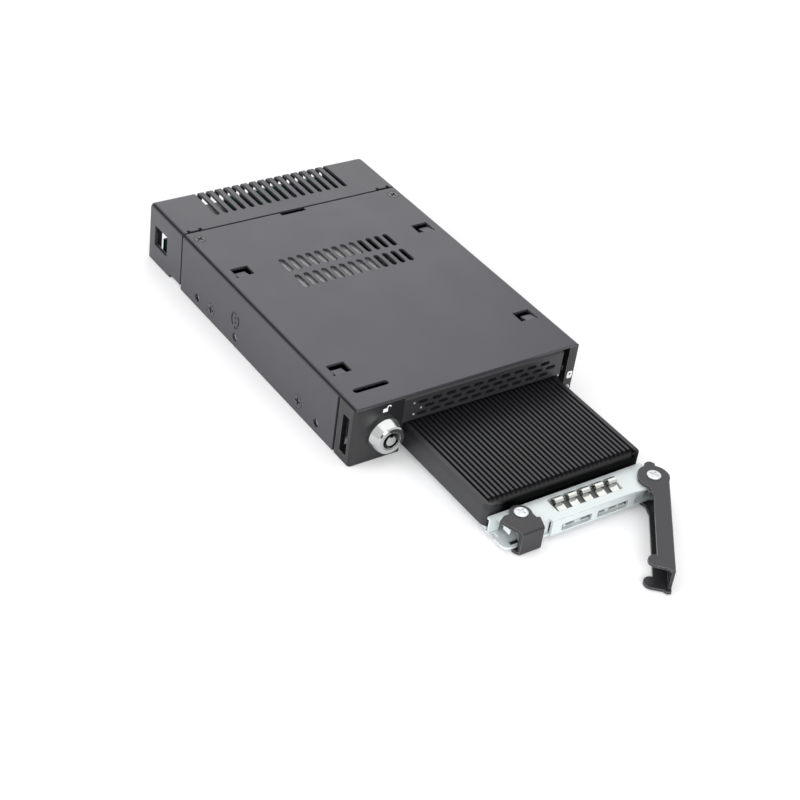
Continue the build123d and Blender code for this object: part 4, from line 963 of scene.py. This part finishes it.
@dataclass
class FrontPanel:
    """Bezel, vent panel, light pipes and the icons, printed a little proud of the face.

    An icon's place is in x and z. The lock's body, from its icon's place, and the clip are left, low, width and
    height. The shackle is the step from the body's corner to its middle, the spindle is its radius and rise, and
    the power bar is half its width and both its ends.
    """

    proud: float = 0.03
    lock_icon: Point = (-37.0, 21.9)
    lock_body: tuple[float, float, float, float] = (-1.5, -1.3, 2.0, 1.6)
    shackle: Point = (0.5, 0.15)
    shackle_radii: Point = (0.95, 0.5)
    drive_icon: Point = (48.9, 11.2)
    drive_half: Point = (1.25, 1.6)
    squareness: float = 0.45
    spindle: Point = (0.5, 0.3)
    power_icon: Point = (48.9, 5.3)
    power_radii: Point = (1.1, 0.75)
    power_arc: Point = (125.0, 415.0)
    power_bar: Place = (0.17, 0.1, 1.35)
    # pale steel dots and a clip end, set as painted highlights where the vent panel shows glints
    glint_dots: tuple[Point, ...] = ((-24.9, 20.6), (-21.6, 17.7), (-24.6, 15.6))
    glint_dot_radius: float = 0.38
    glint_dot_height: float = 0.12
    clip: tuple[float, float, float, float] = (42.75, 12.2, 0.45, 0.9)
    clip_depth: float = 0.2

    def build(self) -> None:
        """Paints the mouldings and prints the icons."""
        paint("front_bezel", BEZEL)
        paint("vent_panel", PANEL)
        paint("light_pipes", LIGHT_PIPE)
        self.padlock()
        self.drive()
        self.power()
        self.panel_glint_pins()

    def printed(self, name: str, mesh: Draft) -> None:
        """Finishes one print of the bezel.

        Args:
            name: name of the print.
            mesh: its mesh.
        """
        piece_from(name, mesh, PRINT, Body.CAGE)

    def padlock(self) -> None:
        """Prints the open padlock above the key lock; its shackle hangs over the right edge of its body."""
        left, low, width, height = self.lock_body
        left, low = self.lock_icon[0] + left, self.lock_icon[1] + low
        right, high = left + width, low + height
        mesh = bmesh.new()
        add_prism(mesh, [(left, low), (right, low), (right, high), (left, high)], on_front(), 0.0, self.proud)
        centre = (right + self.shackle[0], high + self.shackle[1])
        outer, inner = self.shackle_radii
        bow = arc(centre, outer, 180, 0, 12) + arc(centre, inner, 0, 180, 12)
        bow = [(centre[0] - outer, high)] + bow + [(centre[0] - inner, high)]
        add_prism(mesh, bow, on_front(), 0.0, self.proud)
        self.printed("padlock_print", mesh)

    def drive(self) -> None:
        """Prints the drive: a rounded square with a round spindle hole."""
        x, z = self.drive_icon
        radius, rise = self.spindle
        sides = 32
        outline = []
        for u, v in circle((0.0, 0.0), 1.0, sides):
            across = self.drive_half[0] * math.copysign(abs(u) ** self.squareness, u)
            up = self.drive_half[1] * math.copysign(abs(v) ** self.squareness, v)
            outline.append((x + across, z + up))
        mesh = bmesh.new()
        add_ring(mesh, outline, circle((x, z + rise), radius, sides), on_front(), 0.0, self.proud)
        self.printed("drive_print", mesh)

    def power(self) -> None:
        """Prints the broken ring and the bar of the power light."""
        x, z = self.power_icon
        outer, inner = self.power_radii
        start, end = self.power_arc
        ring = arc(self.power_icon, outer, start, end, 24) + arc(self.power_icon, inner, end, start, 24)
        half, foot, head = self.power_bar
        bar = [(x - half, z + foot), (x + half, z + foot), (x + half, z + head), (x - half, z + head)]
        mesh = bmesh.new()
        for outline in (ring, bar):
            add_prism(mesh, outline, on_front(), 0.0, self.proud)
        self.printed("power_print", mesh)

    def panel_glint_pins(self) -> None:
        """Adds three small pale steel dots and the pale end of a clip on the vent panel: painted highlights
        where it shows glints.
        """
        mesh = bmesh.new()
        for centre in self.glint_dots:
            add_prism(mesh, circle(centre, self.glint_dot_radius, 12), on_front(), 0.0, self.glint_dot_height)
        left, low, width, height = self.clip
        right, high = left + width, low + height
        clip = [(left, high), (right, high), (right, low), (left, low)]
        add_prism(mesh, clip, on_front(self.clip_depth), 0.0, self.clip_depth)
        piece_from("panel_glint_pins", mesh, STEEL, Body.CAGE)


@dataclass
class KeyLock:
    """Key lock with its cam behind the bezel."""

    finish: Finish = CHROME

    def build(self) -> None:
        """Paints the lock."""
        for node in ("lock_body", "lock_plug"):
            paint(node, self.finish)
        for node in ("lock_nut", "lock_cam", "cam_screw"):
            paint(node, STEEL)


@dataclass
class DriveTray:
    """Folded tray with its pierced strip and shielding spring."""

    sheet: Finish = ZINC
    spring: Finish = SPRING

    def build(self) -> None:
        """Paints the tray."""
        paint("tray_pan", self.sheet)
        paint("fascia_insert", INSERT)
        paint("shield_spring", self.spring)
        paint("light_block", LIGHT_BLOCK)
        paint("drive_screws", STEEL)


@dataclass
class EjectGear:
    """Lever and latch with rivets and coil springs."""

    lever_pivot: Point = (39.9, -61.2)
    lever_start: float = 200.0
    latch_pivot: Point = (-17.0, -56.5)
    latch_start: float = -60.0
    wire: float = 0.3
    coil: float = 2.25
    turns: float = 4.0
    steps: int = 96
    low: float = 2.95
    high: float = 6.6

    def build(self) -> None:
        """Paints the levers and winds the springs."""
        paint("eject_lever", LEVER)
        paint("latch", LATCH)
        for node in ("lever_rivet", "latch_rivet"):
            paint(node, STEEL)
        self.wind("lever_coil", self.lever_pivot, "lever_spring", self.lever_start)
        self.wind("latch_coil", self.latch_pivot, "latch_spring", self.latch_start)

    def wind(self, name: str, pivot: Point, node: str, start: float) -> None:
        """Winds one spring in place of its plain coil.

        Args:
            name: name of the piece.
            pivot: centre of the coil.
            node: the node that it stands for.
            start: angle in degrees at which the wire starts.
        """
        rise = (self.high - self.low) / self.steps
        turn = arc(pivot, self.coil, start, start + 360 * self.turns, self.steps)
        path = [place(x, y, self.low + rise * i) for i, (x, y) in enumerate(turn)]
        mesh = bmesh.new()
        add_tube(mesh, path, self.wire * MM)
        made = piece_from(name, mesh, SPRING, Body.TRAY, smooth=35.0)
        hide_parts(node)


@dataclass
class SolidStateDrive:
    """The drive on the tray."""

    def build(self) -> None:
        """Paints the drive."""
        paint("drive_lid", LID)
        paint("drive_case", CASE)
        paint("drive_plug", PORT)
        paint("drive_board", BOARD)
        paint("memory_chips", CHIP)


@dataclass
class RearElectronics:
    """Backplane, rear board, riser and ports, with their contacts and small parts."""

    board_top: float = 8.0
    socket_tongue: Place = (15.95, 113.65, 6.72)
    data_tongue: Place = (-21.9, 149.6, 13.57)
    power_tongue: Place = (15.5, 149.6, 11.32)
    contact_thickness: float = 0.05
    chip: Place = (6.0, 5.0, 1.0)
    capacitor: Place = (1.6, 0.8, 0.6)

    def build(self) -> None:
        """Paints the boards and ports and lays what repeats on them."""
        for node in ("backplane_board", "rear_board", "riser_board"):
            paint(node, BOARD)
        for node in ("drive_socket", "data_port", "power_port"):
            paint(node, PORT)
        paint("board_posts", BRASS)
        paint("board_screws", STEEL)
        for field in self.contacts() + self.small_parts():
            field.build()

    def contacts(self) -> list[BlockField]:
        """Lists the rows of contacts.

        Returns:
            A row for the socket, the data port and the power port.
        """
        thick = self.contact_thickness
        rows = (
            ("socket_contacts", self.socket_tongue, (0.8, 2.6, thick), 22, 1.5),
            ("data_contacts", self.data_tongue, (0.5, 6.5, thick), 5, 1.2),
            ("power_contacts", self.power_tongue, (0.8, 6.5, thick), 14, 1.27),
        )
        return [
            BlockField(name, GOLD, Slot.CONTACT, tongue, size, count, pitch=(pitch, 1.0))
            for name, tongue, size, count, pitch in rows
        ]

    def small_parts(self) -> list[BlockField]:
        """Lists the chips and capacitors of the rear board.

        Returns:
            A field of each.
        """
        chips = BlockField(
            "board_chips",
            CHIP,
            Slot.CHIP,
            middle=(-2.0, 133.0, self.board_top + self.chip[2] / 2),
            size=self.chip,
            columns=5,
            rows=2,
            pitch=(10.5, 9.0),
            kept=0.8,
            change=(0.35, 0.3, 0.3),
            seed=5,
        )
        capacitors = BlockField(
            "board_capacitors",
            CERAMIC,
            Slot.PLASTIC,
            middle=(-1.0, 133.5, self.board_top + self.capacitor[2] / 2),
            size=self.capacitor,
            columns=12,
            rows=6,
            pitch=(5.1, 2.9),
            kept=0.45,
            change=(0.3, 0.2, 0.2),
            seed=11,
        )
        return [chips, capacitors]


@dataclass(frozen=True)
class StudioSquare:
    """A square thing of the studio: its place, the point that it faces and its side, in metres.

    A softbox has its power in watts, and whether mirrors show it.
    """

    name: str
    where: Place
    side: float
    target: Place = (0.0, 0.0, 0.0)
    power: float = 0.0
    mirrored: bool = True


@dataclass
class Studio:
    """Pale floor, white backdrop, softboxes, and dark cards that only mirrors show, which draw the bends."""

    paper: Finish = StudioPaper("studio_floor_paper", "#f4f4f5", 0.9, edge=0.01)
    black: Finish = Finish("matt_black_card", "#0c0c0d", 0.9, edge=0.01)
    floor_half: float = 6.0
    floor_gap: float = 0.0002
    fill: float = 0.5
    softboxes: tuple[StudioSquare, ...] = (
        StudioSquare("top_softbox", (0.1, 0.1, 1.1), 1.6, power=5.9),
        StudioSquare("rear_softbox", (0.62, 1.15, 0.80), 0.8, target=(0.0, 0.05, 0.0), power=2.4),
        StudioSquare("front_softbox", (-0.3, -1.1, 0.35), 0.9, target=(0.0, -0.05, 0.0), power=11.0),
        StudioSquare("left_softbox", (-0.95, 0.25, 0.4), 0.8, power=5.5, mirrored=False),
    )
    cards: tuple[StudioSquare, ...] = (
        StudioSquare("dark_card_left", (-0.58, 0.66, 0.38), 0.65),
        StudioSquare("dark_card_camera", (-0.75, -0.75, 0.55), 0.9),
        StudioSquare("dark_card_above", (-0.25, -0.78, 0.98), 0.5),
    )

    def build(self) -> None:
        """Makes the floor, the backdrop, the softboxes and the cards."""
        self.floor()
        self.backdrop()
        for softbox in self.softboxes:
            self.light(softbox)
        for card in self.cards:
            self.card(card)

    def sheet(self, name: str, corners: Sequence[Sequence[float]], finish: Finish) -> bpy.types.Object:
        """Adds one flat sheet of the studio.

        Args:
            name: its name.
            corners: its corners in metres.
            finish: its finish.

        Returns:
            The object.
        """
        mesh = bmesh.new()
        mesh.faces.new([mesh.verts.new(corner) for corner in corners])
        made = add_object(name, mesh_data(name, mesh, finish))
        return made

    def floor(self) -> None:
        """Lays the floor just under the case."""
        half, z = self.floor_half, -self.floor_gap
        corners = [(-half, -half, z), (half, -half, z), (half, half, z), (-half, half, z)]
        self.sheet("studio_floor", corners, self.paper)

    def card(self, card: StudioSquare) -> None:
        """Stands a dark card that only mirrors show.

        Args:
            card: the card.
        """
        middle = Vector(card.where)
        turn = (Vector(card.target) - middle).to_track_quat("Z", "Y")
        half = card.side / 2
        square = ((-half, -half), (half, -half), (half, half), (-half, half))
        made = self.sheet(card.name, [middle + turn @ Vector((u, v, 0.0)) for u, v in square], self.black)
        made.visible_camera = made.visible_diffuse = made.visible_shadow = False

    def backdrop(self) -> None:
        """Sets a world that is white where it is seen and dimmer where it lights."""
        world = bpy.data.worlds.new("studio_world")
        bpy.context.scene.world = world
        world.use_nodes = True
        tree = world.node_tree
        tree.nodes.clear()
        values = {"Value": seen_ray(tree), "To Min": self.fill, "To Max": 1.0}
        level = add_node(tree, "ShaderNodeMapRange", values).outputs[0]
        values = {"Color": linear("#ffffff"), "Strength": level}
        white = add_node(tree, "ShaderNodeBackground", values).outputs[0]
        add_node(tree, "ShaderNodeOutputWorld", {"Surface": white})

    def light(self, softbox: StudioSquare) -> None:
        """Hangs one soft area light.

        Args:
            softbox: the light.
        """
        data = bpy.data.lights.new(softbox.name, "AREA")
        data.energy = softbox.power
        data.size = softbox.side
        lamp = add_object(softbox.name, data)
        lamp.location = softbox.where
        lamp.visible_glossy = softbox.mirrored
        aim = Vector(softbox.target) - Vector(softbox.where)
        lamp.rotation_euler = aim.to_track_quat("-Z", "Y").to_euler()


@dataclass
class PhotoCamera:
    """Camera at the photo's place and angle, given by the picture's right and up directions."""

    lens: float = 78.69
    sensor: float = 36.0
    where: Place = (-347.40, -391.68, 389.14)
    right: Place = (0.8244, -0.5534, 0.1192)
    up: Place = (0.2499, 0.5447, 0.8007)
    clip: Point = (0.01, 50.0)

    def build(self) -> None:
        """Makes the camera and picks the plain view transform."""
        data = bpy.data.cameras.new("photo_camera")
        data.lens = self.lens
        data.sensor_width = self.sensor
        data.clip_start, data.clip_end = self.clip
        camera = add_object("photo_camera", data)
        right = Vector(self.right).normalized()
        up = (Vector(self.up) - right * right.dot(Vector(self.up))).normalized()
        back = right.cross(up)
        turn = Matrix((right, up, back)).transposed().to_4x4()
        camera.matrix_world = Matrix.Translation(place(*self.where)) @ turn
        scene = bpy.context.scene
        scene.camera = camera
        scene.view_settings.view_transform = "Standard"


def main() -> None:
    """Builds the looks, part by part."""
    logging.basicConfig(level=logging.INFO, format="%(name)s: %(message)s")
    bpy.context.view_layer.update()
    object_parts = (CaseShell, FrontPanel, KeyLock, DriveTray, EjectGear, SolidStateDrive, RearElectronics)
    for part in (*object_parts, Studio, PhotoCamera):
        part().build()
        LOG.info("built %s", part.__name__)


if __name__ == "__main__":
    main()
